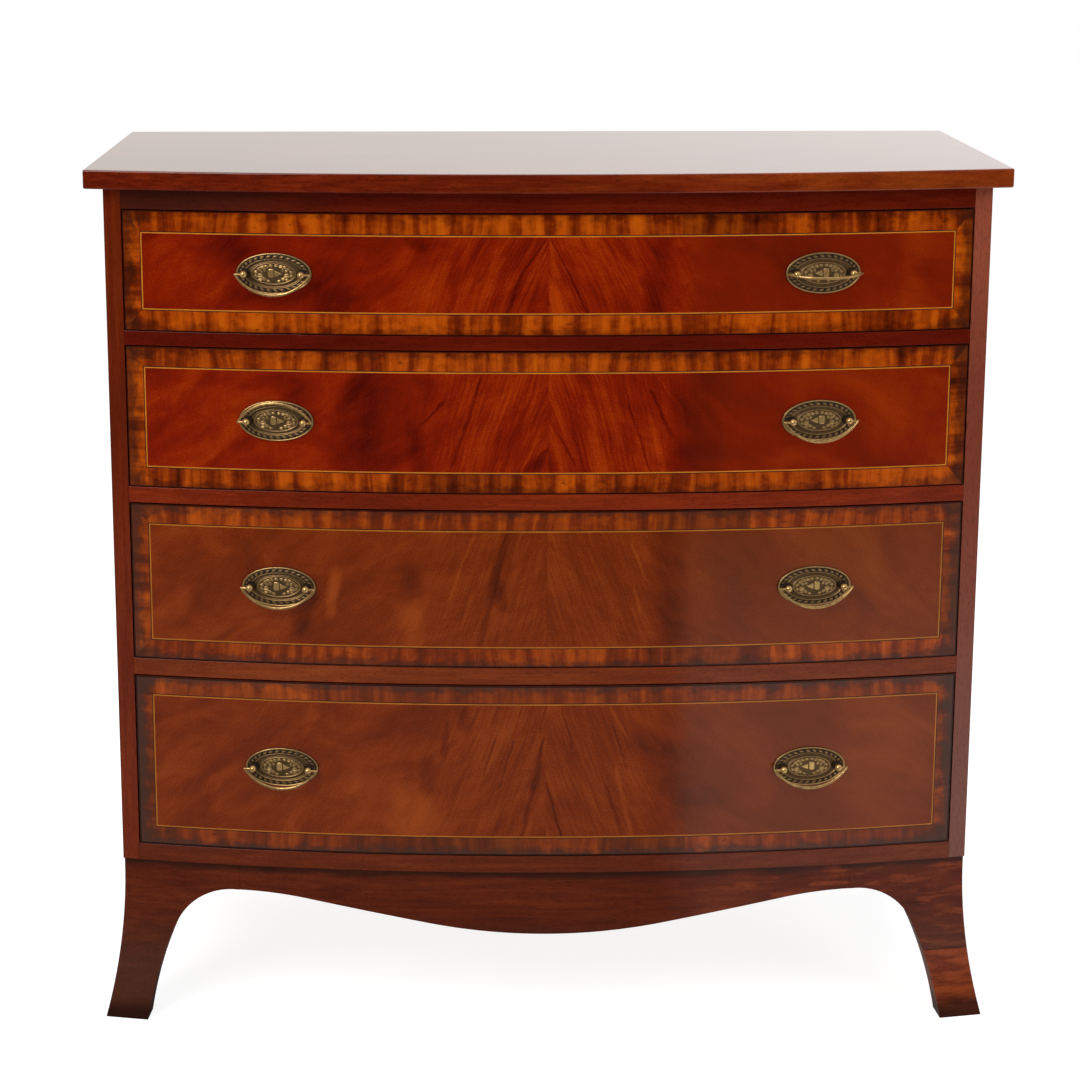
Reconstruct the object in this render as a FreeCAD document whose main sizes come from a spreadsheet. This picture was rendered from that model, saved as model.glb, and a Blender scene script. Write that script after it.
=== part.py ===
"""Bow front chest of drawers: four graduated drawers in a bowed case on splayed bracket feet.

Millimetres, +Z up, +X to the right, the front towards -Y.  The origin is on the floor, under
the centre of the chest's box.  Every bowed face is part of a cylinder about one upright axis
behind the chest, the bow axis, so the top, rails, drawer fronts and apron stay concentric.
"""
import FreeCAD, Part
import math
import os

import Sketcher

DIMENSIONS = [
    # the case
    ("case_width", 977.0, "over the outer faces of the sides"),
    ("side_depth", 439.0, "front corner of the case to its back"),
    ("bow", 50.0, "how far the middle of the front stands before its corners"),
    ("side_thickness", 19.5, "case sides, whose front edges show as stiles"),
    ("top_thickness", 21.0, "top board"),
    ("side_overhang", 19.5, "top beyond the sides"),
    ("front_overhang", 19.5, "top before the bowed front"),
    ("top_edge_radius", 2.0, "eased edges of the top"),
    ("base_height", 189.0, "floor to the underside of the case"),
    ("bottom_rail_height", 20.0, "rail under the lowest drawer"),
    ("divider_3_height", 19.5, "rail between drawers 3 and 4"),
    ("divider_2_height", 18.0, "rail between drawers 2 and 3"),
    ("divider_1_height", 16.0, "rail between drawers 1 and 2"),
    ("top_rail_height", 23.0, "rail over the highest drawer"),
    ("opening_1_height", 135.0, "clear height for the highest drawer"),
    ("opening_2_height", 161.0, "clear height for drawer 2"),
    ("opening_3_height", 182.0, "clear height for drawer 3"),
    ("opening_4_height", 204.0, "clear height for the lowest drawer"),
    ("rail_depth", 40.0, "rails' straight back edge behind the front corner"),
    ("back_thickness", 6.0, "back panel"),
    ("back_rebate", 10.0, "how far the back panel is let into each side"),
    ("board_thickness", 12.0, "bottom board of the case"),
    ("runner_width", 30.0, "runners and kickers"),
    ("runner_rise", 0.7, "runners' tops above the rails' tops"),
    ("stop_size", 40.0, "length of a drawer stop"),
    ("stop_depth", 15.0, "drawer stop, front to back"),
    ("stop_height", 6.0, "drawer stop above its rail"),
    ("stop_place", 280.0, "middle of a drawer stop from the centre line"),
    ("stop_gap", 0.3, "closed drawer front to its stops"),
    # the drawers
    ("front_thickness", 20.0, "drawer fronts, measured square to the bow"),
    ("front_side_gap", 1.5, "drawer to each case side"),
    ("front_top_gap", 1.5, "drawer front to the rail above"),
    ("running_gap", 0.3, "drawer sides above their runners"),
    ("drawer_side_thickness", 12.0, "drawer sides"),
    ("drawer_back_thickness", 12.0, "drawer backs"),
    ("side_drop", 6.5, "drawer sides' tops below the top of the front"),
    ("rear_gap", 14.0, "closed drawer to the back panel"),
    ("lap", 7.0, "front's thickness left before the dovetails"),
    ("panel_thickness", 6.0, "drawer bottoms"),
    ("panel_height", 10.0, "drawer bottom's underside above the drawer's lower edge"),
    ("groove_depth", 5.0, "grooves that hold the drawer bottoms"),
    ("panel_gap", 0.5, "drawer bottom's edge to the end of its groove"),
    ("first_pin", 34.0, "lowest dovetail pin's middle above the drawer's lower edge"),
    ("pin_pitch", 34.0, "dovetail spacing"),
    ("pin_end_width", 6.0, "dovetail socket at the board's end"),
    ("pin_root_width", 12.0, "dovetail socket at its root"),
    # the base
    ("base_inset", 1.4, "base behind the faces of the case"),
    ("base_thickness", 30.0, "stock of the feet and aprons"),
    ("flare", 24.5, "how far a foot splays at the floor"),
    ("upright_height", 9.0, "upright stretch of a foot between the case and its splay"),
    ("foot_reach", 135.0, "foot's joint with the apron, from the corner"),
    ("foot_floor_reach", 27.5, "foot's inner edge at the floor, from the corner"),
    ("foot_knee_reach", 62.0, "foot's inner edge at the knee, from the corner"),
    ("foot_knee_height", 116.5, "knee, where the two curves of the inner edge meet"),
    ("foot_arch_radius", 75.0, "curve from the knee up to the apron"),
    ("foot_leg_radius", 400.0, "curve from the knee down to the floor"),
    ("foot_cut_turn", 4.5, "turn of the front feet's cut edges from straight back"),
    ("apron_rise", 30.5, "apron's depth where it meets a foot"),
    ("apron_drop", 75.3, "apron's depth in the middle"),
    ("apron_slope_ratio", 0.716, "slope of the apron's edge: 1 gives two arcs that meet, less a "
                               "longer straight run between them"),
    ("apron_middle_ratio", 0.63, "the hanging arc's part of both arcs' radii together"),
    ("bracket_thickness", 18.0, "rear brackets of the back feet"),
    ("block_width", 30.0, "glue blocks in the corners of the base"),
    ("block_height", 62.0, "glue blocks"),
    # the handles
    ("handle_place", 300.0, "middle of a handle from the centre line"),
    ("boring", 63.5, "post to post"),
    ("plate_margin", 10.25, "oval backplate beyond the middle of each post"),
    ("plate_height", 45.5, "oval backplate"),
    ("plate_thickness", 1.2, "backplate's flat field"),
    ("plate_rim", 9.5, "width of the backplate's raised border"),
    ("plate_rim_height", 2.4, "backplate's border above the wood"),
    ("plate_boss_margin", 8.75, "end of the backplate's raised oval to the middle of each post"),
    ("plate_boss_height", 21.0, "raised oval in the middle of the backplate"),
    ("plate_boss_rise", 2.8, "raised oval above the wood"),
    ("shank_radius", 2.0, "threaded shank of a post"),
    ("shank_clearance", 0.1, "shank in the holes of the front and the plate"),
    ("shank_tail", 7.0, "shank behind the drawer front"),
    ("nut_flats", 8.0, "nut over its corners"),
    ("nut_thickness", 3.2, "nut"),
    ("nut_clearance", 0.05, "nut's thread around the shank"),
    ("nut_seat_gap", 0.02, "nut to the bowed inner face of a drawer front"),
    ("collar_radius", 4.2, "collar between a post's head and the plate"),
    ("collar_thickness", 1.4, "collar"),
    ("neck_radius", 2.4, "neck under a post's ball"),
    ("ball_radius", 4.0, "ball head of a post"),
    ("pivot_stand", 12.0, "bail's pivot line before the drawer front"),
    ("pivot_radius", 1.3, "pins at the ends of a bail"),
    ("pivot_clearance", 0.05, "pin in the hole of the ball, in the radius"),
    ("pivot_depth", 5.5, "how deep the hole of the ball is"),
    ("pivot_end_gap", 0.4, "pin's end to the end of its hole"),
    ("bail_margin", 10.9, "tip of a bail beyond the middle of its post"),
    ("bail_drop", 24.3, "pivot line to the lowest point of a bail"),
    ("bail_middle", 3.6, "thickness of a bail at its lowest point"),
    ("bail_tip", 2.4, "thickness of a bail at its tips, along the pivot line"),
    ("bail_depth", 3.2, "bail, front to back"),
    ("raised_angle", 86.0, "how far the right bail of drawer 1 stands up from hanging"),
    ("turned_up_angle", 172.0, "how far the left bail of drawer 2 is turned up from hanging"),
]

doc = FreeCAD.newDocument("bow_front_chest")
sheet = doc.addObject("Spreadsheet::Sheet", "dims")
layout = doc.addObject("App::VarSet", "layout")
nodes = []
QUARTER_TURN = 90.0


class Size:
    """A size with the expression that gives it, so that a sum of sizes stays bound to the sheet."""

    def __init__(self, rule, value):
        self.rule = rule
        self.value = float(value)

    def __add__(self, other):
        other = as_size(other)
        return Size(f"({self.rule} + {other.rule})", self.value + other.value)

    def __sub__(self, other):
        other = as_size(other)
        return Size(f"({self.rule} - {other.rule})", self.value - other.value)

    def __rsub__(self, other):
        return as_size(other) - self

    def __mul__(self, other):
        other = as_size(other)
        return Size(f"({self.rule} * {other.rule})", self.value * other.value)

    def __truediv__(self, other):
        other = as_size(other)
        return Size(f"({self.rule} / {other.rule})", self.value / other.value)

    def __neg__(self):
        return Size(f"(0 - {self.rule})", -self.value)

    __radd__ = __add__
    __rmul__ = __mul__


def as_size(number):
    return number if isinstance(number, Size) else Size(repr(float(number)), number)


def root(size):
    return Size(f"sqrt({size.rule})", math.sqrt(size.value))


def fill_sheet():
    """Write the dimensions into the sheet and return each as a Size by its alias."""
    sizes = {}
    for row, (alias, number, meaning) in enumerate(DIMENSIONS, start=1):
        sheet.set(f"A{row}", meaning)
        sheet.set(f"B{row}", str(number))
        sheet.setAlias(f"B{row}", alias)
        sizes[alias] = Size(f"dims.{alias}", number)
    doc.recompute()
    return sizes


def laid_out(name, size):
    """Keep a worked-out size under a name of its own, so that later expressions stay short."""
    layout.addProperty("App::PropertyFloat", name, "Layout")
    layout.setExpression(name, size.rule)
    return Size(f"layout.{name}", size.value)


d = fill_sheet()
HALF_CASE = laid_out("half_case", d["case_width"] / 2)
HALF_TOP = laid_out("half_top", HALF_CASE + d["side_overhang"])
HALF_OPENING = laid_out("half_opening", HALF_CASE - d["side_thickness"])
BACK = laid_out("back", (d["front_overhang"] + d["bow"] + d["side_depth"]) / 2)
CORNER = laid_out("corner", BACK - d["side_depth"])
BOW_RADIUS = laid_out("bow_radius", (HALF_CASE * HALF_CASE + d["bow"] * d["bow"]) / (2 * d["bow"]))
INNER_RADIUS = laid_out("inner_radius", BOW_RADIUS - d["front_thickness"])
BOW_AXIS = laid_out("bow_axis", CORNER - d["bow"] + BOW_RADIUS)
RAIL_BACK = laid_out("rail_back", CORNER + d["rail_depth"])
PANEL_FACE = laid_out("panel_face", BACK - d["back_thickness"])


def bowed_y(radius, x):
    """Where a cylinder of this radius about the bow axis crosses the upright plane at x."""
    return BOW_AXIS - root(radius * radius - x * x)


def name_node(item, name):
    """Make an object of the document a sub-part: its label names its file."""
    item.Label = name
    nodes.append(item)
    return item


def bind(item, **rules):
    """Bind properties of an object, written with __ for the dots of a path."""
    for path, size in rules.items():
        item.setExpression(path.replace("__", "."), as_size(size).rule)
    return item


def put(item, x=0, y=0, z=0):
    return bind(item, Placement__Base__x=x, Placement__Base__y=y, Placement__Base__z=z)


def box(name, x, y, z):
    """Box between the two ends given for each direction."""
    solid = doc.addObject("Part::Box", name)
    bind(solid, Length=x[1] - x[0], Width=y[1] - y[0], Height=z[1] - z[0])
    return put(solid, x[0], y[0], z[0])


def rod(name, radius, length):
    solid = doc.addObject("Part::Cylinder", name)
    return bind(solid, Radius=radius, Height=length)


def joined(kind, name, **links):
    item = doc.addObject(kind, name)
    for link, value in links.items():
        setattr(item, link, value)
    return item


def cut(name, base, tool):
    return joined("Part::Cut", name, Base=base, Tool=tool)


def common(name, *shapes):
    return joined("Part::MultiCommon", name, Shapes=list(shapes))


def fused(name, *shapes):
    return joined("Part::MultiFuse", name, Shapes=list(shapes))


def group(name, *pieces):
    return joined("Part::Compound", name, Links=list(pieces))


def mirrored(name, source):
    """The same piece for the other side of the chest."""
    return joined("Part::Mirroring", name, Source=source, Normal=FreeCAD.Vector(1, 0, 0))


def sketch_on(body, role, name):
    """Sketch on one of the body's own origin planes."""
    sketch = body.newObject("Sketcher::SketchObject", name)
    plane = [item for item in body.Origin.OriginFeatures if item.Role == role][0]
    sketch.AttachmentSupport = (plane, "")
    sketch.MapMode = "FlatFace"
    return sketch


def edge_between(start, end, curve):
    """A straight edge, or an arc of a radius whose centre is on the left (1) or right (-1) of it.

    Returns the edge and which of its two ends the outline enters and leaves by.
    """
    if curve is None:
        return Part.LineSegment(start, end), 1, 2
    radius, side = curve
    chord = end - start
    left = FreeCAD.Vector(-chord.y, chord.x, 0) / chord.Length
    reach = math.sqrt(radius.value ** 2 - (chord.Length / 2) ** 2)
    centre = (start + end) / 2 + left * side * reach
    circle = Part.Circle(centre, FreeCAD.Vector(0, 0, 1), radius.value)
    angles = [math.atan2(point.y - centre.y, point.x - centre.x) for point in (start, end)]
    if side > 0:
        return Part.ArcOfCircle(circle, angles[0], angles[1]), 1, 2
    return Part.ArcOfCircle(circle, angles[1], angles[0]), 2, 1


def draw_outline(sketch, corners, curves=None):
    """Closed outline through corners, each held by its two distances from the origin.

    curves gives the radius and side of the edge that leaves a corner, for edges that are arcs.
    """
    curves = curves or {}
    places = [(as_size(x), as_size(y)) for x, y in corners]
    points = [FreeCAD.Vector(x.value, y.value, 0) for x, y in places]
    ends = []
    for i, point in enumerate(points):
        curve = curves.get(i)
        edge, enter, leave = edge_between(point, points[(i + 1) % len(points)], curve)
        index = sketch.addGeometry(edge, False)
        ends.append((index, enter, leave))
        if curve:
            number = sketch.addConstraint(Sketcher.Constraint("Radius", index, curve[0].value))
            sketch.setExpression(f"Constraints[{number}]", curve[0].rule)
    for i, (index, enter, leave) in enumerate(ends):
        following = ends[(i + 1) % len(ends)]
        link = Sketcher.Constraint("Coincident", index, leave, following[0], following[1])
        sketch.addConstraint(link)
        for kind, place in zip(("DistanceX", "DistanceY"), places[i]):
            distance = Sketcher.Constraint(kind, -1, 1, index, enter, place.value)
            number = sketch.addConstraint(distance)
            sketch.setExpression(f"Constraints[{number}]", place.rule)
    return sketch


def padded(name, role, corners, length, curves=None, midplane=False):
    """Body that pads an outline drawn on one of its origin planes."""
    body = doc.addObject("PartDesign::Body", name)
    sketch = draw_outline(sketch_on(body, role, name + "_outline"), corners, curves)
    pad = body.newObject("PartDesign::Pad", name + "_pad")
    pad.Profile = sketch
    bind(pad, Length=length)
    pad.SideType = "Symmetric" if midplane else "One side"
    return body


def bowed_board(name, half_width, radius, back, z, height):
    """Board with a bowed front and a straight back."""
    front = bowed_y(radius, half_width)
    corners = [(half_width, front), (half_width, back), (-half_width, back), (-half_width, front)]
    return put(padded(name, "XY_Plane", corners, height, {3: (radius, 1)}), z=z)


def bowed_strip(name, half_width, radius, thickness, z, height):
    """Board bent to the bow, of one thickness throughout."""
    inner = radius - thickness
    front = bowed_y(radius, half_width)
    back = bowed_y(inner, half_width)
    corners = [(half_width, front), (half_width, back), (-half_width, back), (-half_width, front)]
    curves = {1: (inner, -1), 3: (radius, 1)}
    return put(padded(name, "XY_Plane", corners, height, curves), z=z)


# ---------------------------------------------------------------- heights, from the floor up
BASE = d["base_height"]
RAIL_HEIGHTS = [d["top_rail_height"], d["divider_1_height"], d["divider_2_height"],
                d["divider_3_height"], d["bottom_rail_height"]]
OPENING_HEIGHTS = [d[f"opening_{i}_height"] for i in range(1, 5)]
RAIL_FOOT = [None] * len(RAIL_HEIGHTS)
OPENING_FOOT = [None] * len(OPENING_HEIGHTS)
level = BASE
for i in reversed(range(len(RAIL_HEIGHTS))):
    RAIL_FOOT[i] = laid_out(f"rail_{i}_foot", level)
    level = RAIL_FOOT[i] + RAIL_HEIGHTS[i]
    if i:
        OPENING_FOOT[i - 1] = laid_out(f"opening_{i}_foot", level)
        level = OPENING_FOOT[i - 1] + OPENING_HEIGHTS[i - 1]
CASE_TOP = laid_out("case_top", level)


# ---------------------------------------------------------------- the case
def make_top():
    top = bowed_board("top_board", HALF_TOP, BOW_RADIUS + d["front_overhang"], BACK,
                      CASE_TOP, d["top_thickness"])
    doc.recompute()
    pad = top.Tip
    rounded = [f"Edge{i}" for i, edge in enumerate(pad.Shape.Edges, start=1)
               if edge.BoundBox.ZLength < 1e-6 and edge.BoundBox.YMin < BACK.value - 1e-6]
    fillet = top.newObject("PartDesign::Fillet", "top_edge")
    fillet.Base = (pad, rounded)
    bind(fillet, Radius=d["top_edge_radius"])
    name_node(top, "top")


def make_sides():
    """Case sides, rebated for the back panel, with their front edges cut to the bow."""
    inner, outer = HALF_OPENING, HALF_CASE
    rebate = HALF_OPENING + d["back_rebate"]
    corners = [(inner, bowed_y(BOW_RADIUS, inner)), (outer, bowed_y(BOW_RADIUS, outer)),
               (outer, BACK), (rebate, BACK), (rebate, PANEL_FACE), (inner, PANEL_FACE)]
    side = padded("side_board", "XY_Plane", corners, CASE_TOP - BASE, {0: (BOW_RADIUS, 1)})
    put(side, z=BASE)
    name_node(side, "right_side")
    name_node(mirrored("side_board_left", side), "left_side")


def make_rails():
    names = ["top_rail", "divider_1", "divider_2", "divider_3", "bottom_rail"]
    for name, foot, height in zip(names, RAIL_FOOT, RAIL_HEIGHTS):
        board = bowed_board(name + "_board", HALF_OPENING, BOW_RADIUS, RAIL_BACK, foot, height)
        name_node(board, name)


def make_back_and_bottom():
    reach = HALF_OPENING + d["back_rebate"]
    panel = box("back_board", (-reach, reach), (PANEL_FACE, BACK), (BASE, CASE_TOP))
    name_node(panel, "back_panel")
    board = box("bottom_board_panel", (-HALF_OPENING, HALF_OPENING), (RAIL_BACK, PANEL_FACE),
                (BASE, BASE + d["board_thickness"]))
    name_node(board, "bottom_board")


def make_pair(name, foot, head):
    """Two strips along the case sides, from the rails to the back panel."""
    across = (HALF_OPENING - d["runner_width"], HALF_OPENING)
    strip = box(name + "_right", across, (RAIL_BACK, PANEL_FACE), (foot, head))
    name_node(group(name + "_pair", strip, mirrored(name + "_left", strip)), name)


def make_runners():
    """Runners carry each drawer just above its rail; kickers stop drawer 1 from tipping."""
    for i in range(1, 5):
        foot = RAIL_FOOT[i] if i < 4 else BASE + d["board_thickness"]
        make_pair(f"runners_{i}", foot, OPENING_FOOT[i - 1] + d["runner_rise"])
    make_pair("kickers", RAIL_FOOT[0], CASE_TOP)


def make_stops():
    """Blocks on the rails, just behind the inner face of each closed drawer front."""
    half = d["stop_size"] / 2
    outer = d["stop_place"] + half
    face = bowed_y(INNER_RADIUS, outer) + d["stop_gap"]
    blocks = []
    for i, foot in enumerate(OPENING_FOOT, start=1):
        block = box(f"stop_{i}_right", (d["stop_place"] - half, outer),
                    (face, face + d["stop_depth"]), (foot, foot + d["stop_height"]))
        blocks += [block, mirrored(f"stop_{i}_left", block)]
    name_node(group("stop_blocks", *blocks), "drawer_stops")


# ---------------------------------------------------------------- the base
BASE_HALF = laid_out("base_half", HALF_CASE - d["base_inset"])
BASE_RADIUS = laid_out("base_radius", BOW_RADIUS - d["base_inset"])
BASE_CORNER = laid_out("base_corner", bowed_y(BASE_RADIUS, BASE_HALF))
FLARE_HEIGHT = laid_out("flare_height", BASE - d["upright_height"])
FLARE_RADIUS = laid_out("flare_radius", (FLARE_HEIGHT * FLARE_HEIGHT
                                         + d["flare"] * d["flare"]) / (2 * d["flare"]))
FOOT_JOINT = laid_out("foot_joint", BASE_HALF - d["foot_reach"])
ARCH_HEIGHT = laid_out("arch_height", BASE - d["apron_rise"])


def flare_section(face, outwards):
    """Section of a foot's stock: upright above, splaying outwards along an arc to the floor."""
    inner_radius = FLARE_RADIUS + d["base_thickness"]
    inner_foot = FLARE_RADIUS - root(inner_radius * inner_radius - FLARE_HEIGHT * FLARE_HEIGHT)
    inside = face - outwards * d["base_thickness"]
    corners = [(face, BASE), (face, FLARE_HEIGHT), (face + outwards * d["flare"], 0),
               (face + outwards * inner_foot, 0), (inside, FLARE_HEIGHT), (inside, BASE)]
    side = outwards
    return corners, {1: (FLARE_RADIUS, side), 3: (inner_radius, -side)}


def foot_outline(corner, inwards, beyond, run_on=None):
    """Outline of a foot: beyond is how far it runs past the corner, inwards the way to the apron.

    run_on takes it straight on past its joint, for a foot that is cut off there later.
    """
    def reach(name):
        return corner + inwards * d[name]
    past, end = corner - inwards * beyond, reach("foot_reach")
    corners = [(past, BASE), (past, 0), (reach("foot_floor_reach"), 0),
               (reach("foot_knee_reach"), d["foot_knee_height"]), (end, ARCH_HEIGHT)]
    if run_on is not None:
        end = end + inwards * run_on
        corners.append((end, ARCH_HEIGHT))
    corners.append((end, BASE))
    return corners, {2: (d["foot_leg_radius"], -inwards), 3: (d["foot_arch_radius"], -inwards)}


def make_front_foot():
    """Front foot: a bowed wing and a side wing, both splayed, that meet in a mitre.

    The bowed wing's outline is cut almost straight back, with a slight turn towards the bow.
    """
    corners, curves = flare_section(-BASE_RADIUS, -1)
    bowed = doc.addObject("PartDesign::Body", "bowed_stock")
    sketch = draw_outline(sketch_on(bowed, "YZ_Plane", "bowed_section"), corners, curves)
    turn = bowed.newObject("PartDesign::Revolution", "bowed_turn")
    turn.Profile = sketch
    turn.ReferenceAxis = (sketch, ["V_Axis"])
    turn.Angle = QUARTER_TURN
    put(bowed, y=BOW_AXIS)

    front_edge, front_curves = foot_outline(as_size(0), -1, d["flare"] * 2,
                                            d["base_thickness"])
    front_shape = padded("front_foot_shape", "XZ_Plane", front_edge, 4 * d["side_depth"],
                         front_curves, midplane=True)
    square = FreeCAD.Rotation(FreeCAD.Vector(0, 0, 1), 1)
    front_shape.Placement = FreeCAD.Placement(FreeCAD.Vector(), square)
    bind(front_shape, Placement__Rotation__Angle=d["foot_cut_turn"])
    put(front_shape, BASE_HALF, BASE_CORNER)

    corners, curves = flare_section(BASE_HALF, 1)
    straight = padded("side_stock", "XZ_Plane", corners, 4 * d["side_depth"], curves, midplane=True)
    side_edge, side_curves = foot_outline(BASE_CORNER, 1, d["flare"] * 2)
    side_shape = padded("side_foot_shape", "YZ_Plane", side_edge, 2 * d["case_width"],
                        side_curves, midplane=True)

    foot_x = BASE_HALF + d["flare"]
    foot_y = bowed_y(BASE_RADIUS + d["flare"], foot_x)
    reach = 3 * d["base_thickness"] / d["flare"]
    step_x, step_y = reach * (foot_x - BASE_HALF), reach * (foot_y - BASE_CORNER)
    far_x, far_y = BASE_HALF + step_x, BASE_CORNER + step_y
    near_x, near_y = BASE_HALF - step_x, BASE_CORNER - step_y
    ahead = BASE_CORNER - d["side_depth"]
    mitre = padded("mitre_block", "XY_Plane",
                   [(near_x, near_y), (FOOT_JOINT, near_y), (FOOT_JOINT, ahead), (far_x, ahead),
                    (far_x, far_y)], BASE)

    front_wing = common("front_wing", bowed, front_shape, mitre)
    side_wing = cut("side_wing", common("side_wing_blank", straight, side_shape), mitre)
    foot = group("front_foot", front_wing, side_wing)
    name_node(foot, "front_right_foot")
    name_node(mirrored("front_foot_left", foot), "front_left_foot")
    return foot, straight


def make_back_foot(straight):
    """Back foot: a splayed side wing, flush at the back, and a plain bracket behind it."""
    side_edge, side_curves = foot_outline(BACK, -1, as_size(0))
    side_shape = padded("back_foot_shape", "YZ_Plane", side_edge, 2 * d["case_width"],
                        side_curves, midplane=True)
    wing = common("back_wing", straight, side_shape)
    edge, curves = foot_outline(BASE_HALF, -1, as_size(0))
    shape = padded("bracket_shape", "XZ_Plane", edge, 4 * d["side_depth"], curves, midplane=True)
    board = box("bracket_board", (as_size(0), BASE_HALF),
                (BACK - d["bracket_thickness"], BACK), (as_size(0), BASE))
    bracket = cut("back_bracket", common("bracket_blank", board, shape), wing)
    foot = group("back_foot", wing, bracket)
    name_node(foot, "back_right_foot")
    name_node(mirrored("back_foot_left", foot), "back_left_foot")
    return foot


def make_aprons():
    """Front apron with a hanging middle, and plain side aprons between the feet."""
    floor = laid_out("apron_floor", BASE - d["apron_drop"])
    strip = bowed_strip("apron_strip", FOOT_JOINT, BASE_RADIUS, d["base_thickness"],
                        floor, d["apron_drop"])
    shape = doc.addObject("PartDesign::Body", "apron_shape")
    sketch = draw_apron(sketch_on(shape, "XZ_Plane", "apron_outline"), floor)
    pad = shape.newObject("PartDesign::Pad", "apron_pad")
    pad.Profile = sketch
    bind(pad, Length=4 * d["side_depth"])
    pad.SideType = "Symmetric"
    name_node(common("apron_board", strip, shape), "front_apron")

    side = box("side_apron_board", (BASE_HALF - d["base_thickness"], BASE_HALF),
               (BASE_CORNER + d["foot_reach"], BACK - d["foot_reach"]), (ARCH_HEIGHT, BASE))
    name_node(side, "right_apron")
    name_node(mirrored("side_apron_left", side), "left_apron")


def draw_apron(sketch, floor):
    """Lower edge of the front apron: a hanging arc, a straight run and a rising arc each side.

    The arcs' crowns lie on the centre line and at the feet; the runs are tangent to both.  The
    tangent of half the runs' slope is the slope ratio times the edge's rise over its half width,
    and both radii together follow from that.
    """
    steep = d["apron_slope_ratio"]
    rise = laid_out("apron_edge_rise", d["apron_drop"] - d["apron_rise"])
    radii = laid_out("apron_radii", ((2 * steep - 1) * FOOT_JOINT * FOOT_JOINT
                                     + steep * steep * rise * rise) / (2 * steep * steep * rise))
    low = laid_out("apron_low_radius", radii * d["apron_middle_ratio"])
    high = laid_out("apron_high_radius", radii - low)
    low_centre = FreeCAD.Vector(0, floor.value + low.value, 0)
    high_centre = FreeCAD.Vector(FOOT_JOINT.value, ARCH_HEIGHT.value - high.value, 0)
    slope = 2 * math.atan(steep.value * rise.value / FOOT_JOINT.value)
    up = FreeCAD.Vector(0, 0, 1)

    def arc(centre, radius, start, end):
        return sketch.addGeometry(Part.ArcOfCircle(Part.Circle(centre, up, radius), start, end), False)

    def on(centre, radius, angle):
        return centre + FreeCAD.Vector(math.cos(angle), math.sin(angle), 0) * radius

    down, top = -math.pi / 2, math.pi / 2
    middle = arc(low_centre, low.value, down - slope, down + slope)
    right = arc(high_centre, high.value, top, top + slope)
    left_centre = FreeCAD.Vector(-high_centre.x, high_centre.y, 0)
    left = arc(left_centre, high.value, top - slope, top)
    runs = []
    for side, end in ((1, right), (-1, left)):
        near = on(low_centre, low.value, down + side * slope)
        far_centre = high_centre if side > 0 else left_centre
        far = on(far_centre, high.value, top + side * slope)
        runs.append(sketch.addGeometry(Part.LineSegment(near, far), False))
    tops = []
    for x in (FOOT_JOINT, -FOOT_JOINT):
        foot = FreeCAD.Vector(x.value, ARCH_HEIGHT.value, 0)
        tops.append(sketch.addGeometry(Part.LineSegment(
            foot, FreeCAD.Vector(x.value, BASE.value, 0)), False))
    lid = sketch.addGeometry(Part.LineSegment(FreeCAD.Vector(FOOT_JOINT.value, BASE.value, 0),
                                              FreeCAD.Vector(-FOOT_JOINT.value, BASE.value, 0)), False)
    for link in [("Tangent", middle, 2, runs[0], 1), ("Tangent", runs[0], 2, right, 2),
                 ("Tangent", middle, 1, runs[1], 1), ("Tangent", runs[1], 2, left, 1),
                 ("Coincident", right, 1, tops[0], 1), ("Coincident", left, 2, tops[1], 1),
                 ("Coincident", tops[0], 2, lid, 1), ("Coincident", tops[1], 2, lid, 2)]:
        sketch.addConstraint(Sketcher.Constraint(*link))
    held = [("Radius", (middle,), low), ("Radius", (right,), high), ("Radius", (left,), high),
            ("DistanceX", (-1, 1, middle, 3), as_size(0)),
            ("DistanceY", (-1, 1, middle, 3), floor + low)]
    for item, edge, sign in ((right, 1, 1), (left, 2, -1)):
        held += [("DistanceX", (-1, 1, item, 3), sign * FOOT_JOINT),
                 ("DistanceY", (-1, 1, item, 3), ARCH_HEIGHT - high),
                 ("DistanceX", (-1, 1, item, edge), sign * FOOT_JOINT)]
    for item, sign in ((tops[0], 1), (tops[1], -1)):
        held += [("DistanceX", (-1, 1, item, 2), sign * FOOT_JOINT),
                 ("DistanceY", (-1, 1, item, 2), BASE)]
    for kind, what, size in held:
        number = sketch.addConstraint(Sketcher.Constraint(kind, *what, size.value))
        sketch.setExpression(f"Constraints[{number}]", size.rule)
    return sketch


def make_glue_blocks(front_foot, back_foot):
    """Blocks glued into the corners of the base, fitted to the inner faces of the feet."""
    inner = BASE_HALF - d["base_thickness"]
    across = (inner - d["block_width"], BASE_HALF - d["base_thickness"] / 2)
    upright = (BASE - d["block_height"], BASE)
    ahead = bowed_y(BASE_RADIUS - d["base_thickness"] / 2, across[0])
    behind = bowed_y(BASE_RADIUS - d["base_thickness"], inner) + d["block_width"]
    front = cut("front_block", box("front_block_blank", across, (ahead, behind), upright),
                front_foot)
    rear = cut("back_block", box("back_block_blank", across,
                                 (BACK - d["bracket_thickness"] - d["block_width"],
                                  BACK - d["bracket_thickness"] / 2), upright), back_foot)
    blocks = [front, rear, mirrored("front_block_left", front), mirrored("back_block_left", rear)]
    name_node(group("corner_blocks", *blocks), "glue_blocks")


# ---------------------------------------------------------------- the handles
# Each handle is drawn about its middle on the wood, with X along the pivot line and -Y outwards.
HANDLE_FACE = laid_out("handle_face", bowed_y(BOW_RADIUS, d["handle_place"]))
HALF_BORING = laid_out("half_boring", d["boring"] / 2)
BACKWARDS = FreeCAD.Rotation(FreeCAD.Vector(1, 0, 0), 90)
NUT_REACH = laid_out("nut_reach", HALF_BORING + d["nut_flats"] / 2)
NUT_STAND = laid_out("nut_stand", INNER_RADIUS + d["nut_seat_gap"]
                     - root(INNER_RADIUS * INNER_RADIUS - NUT_REACH * NUT_REACH))


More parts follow.
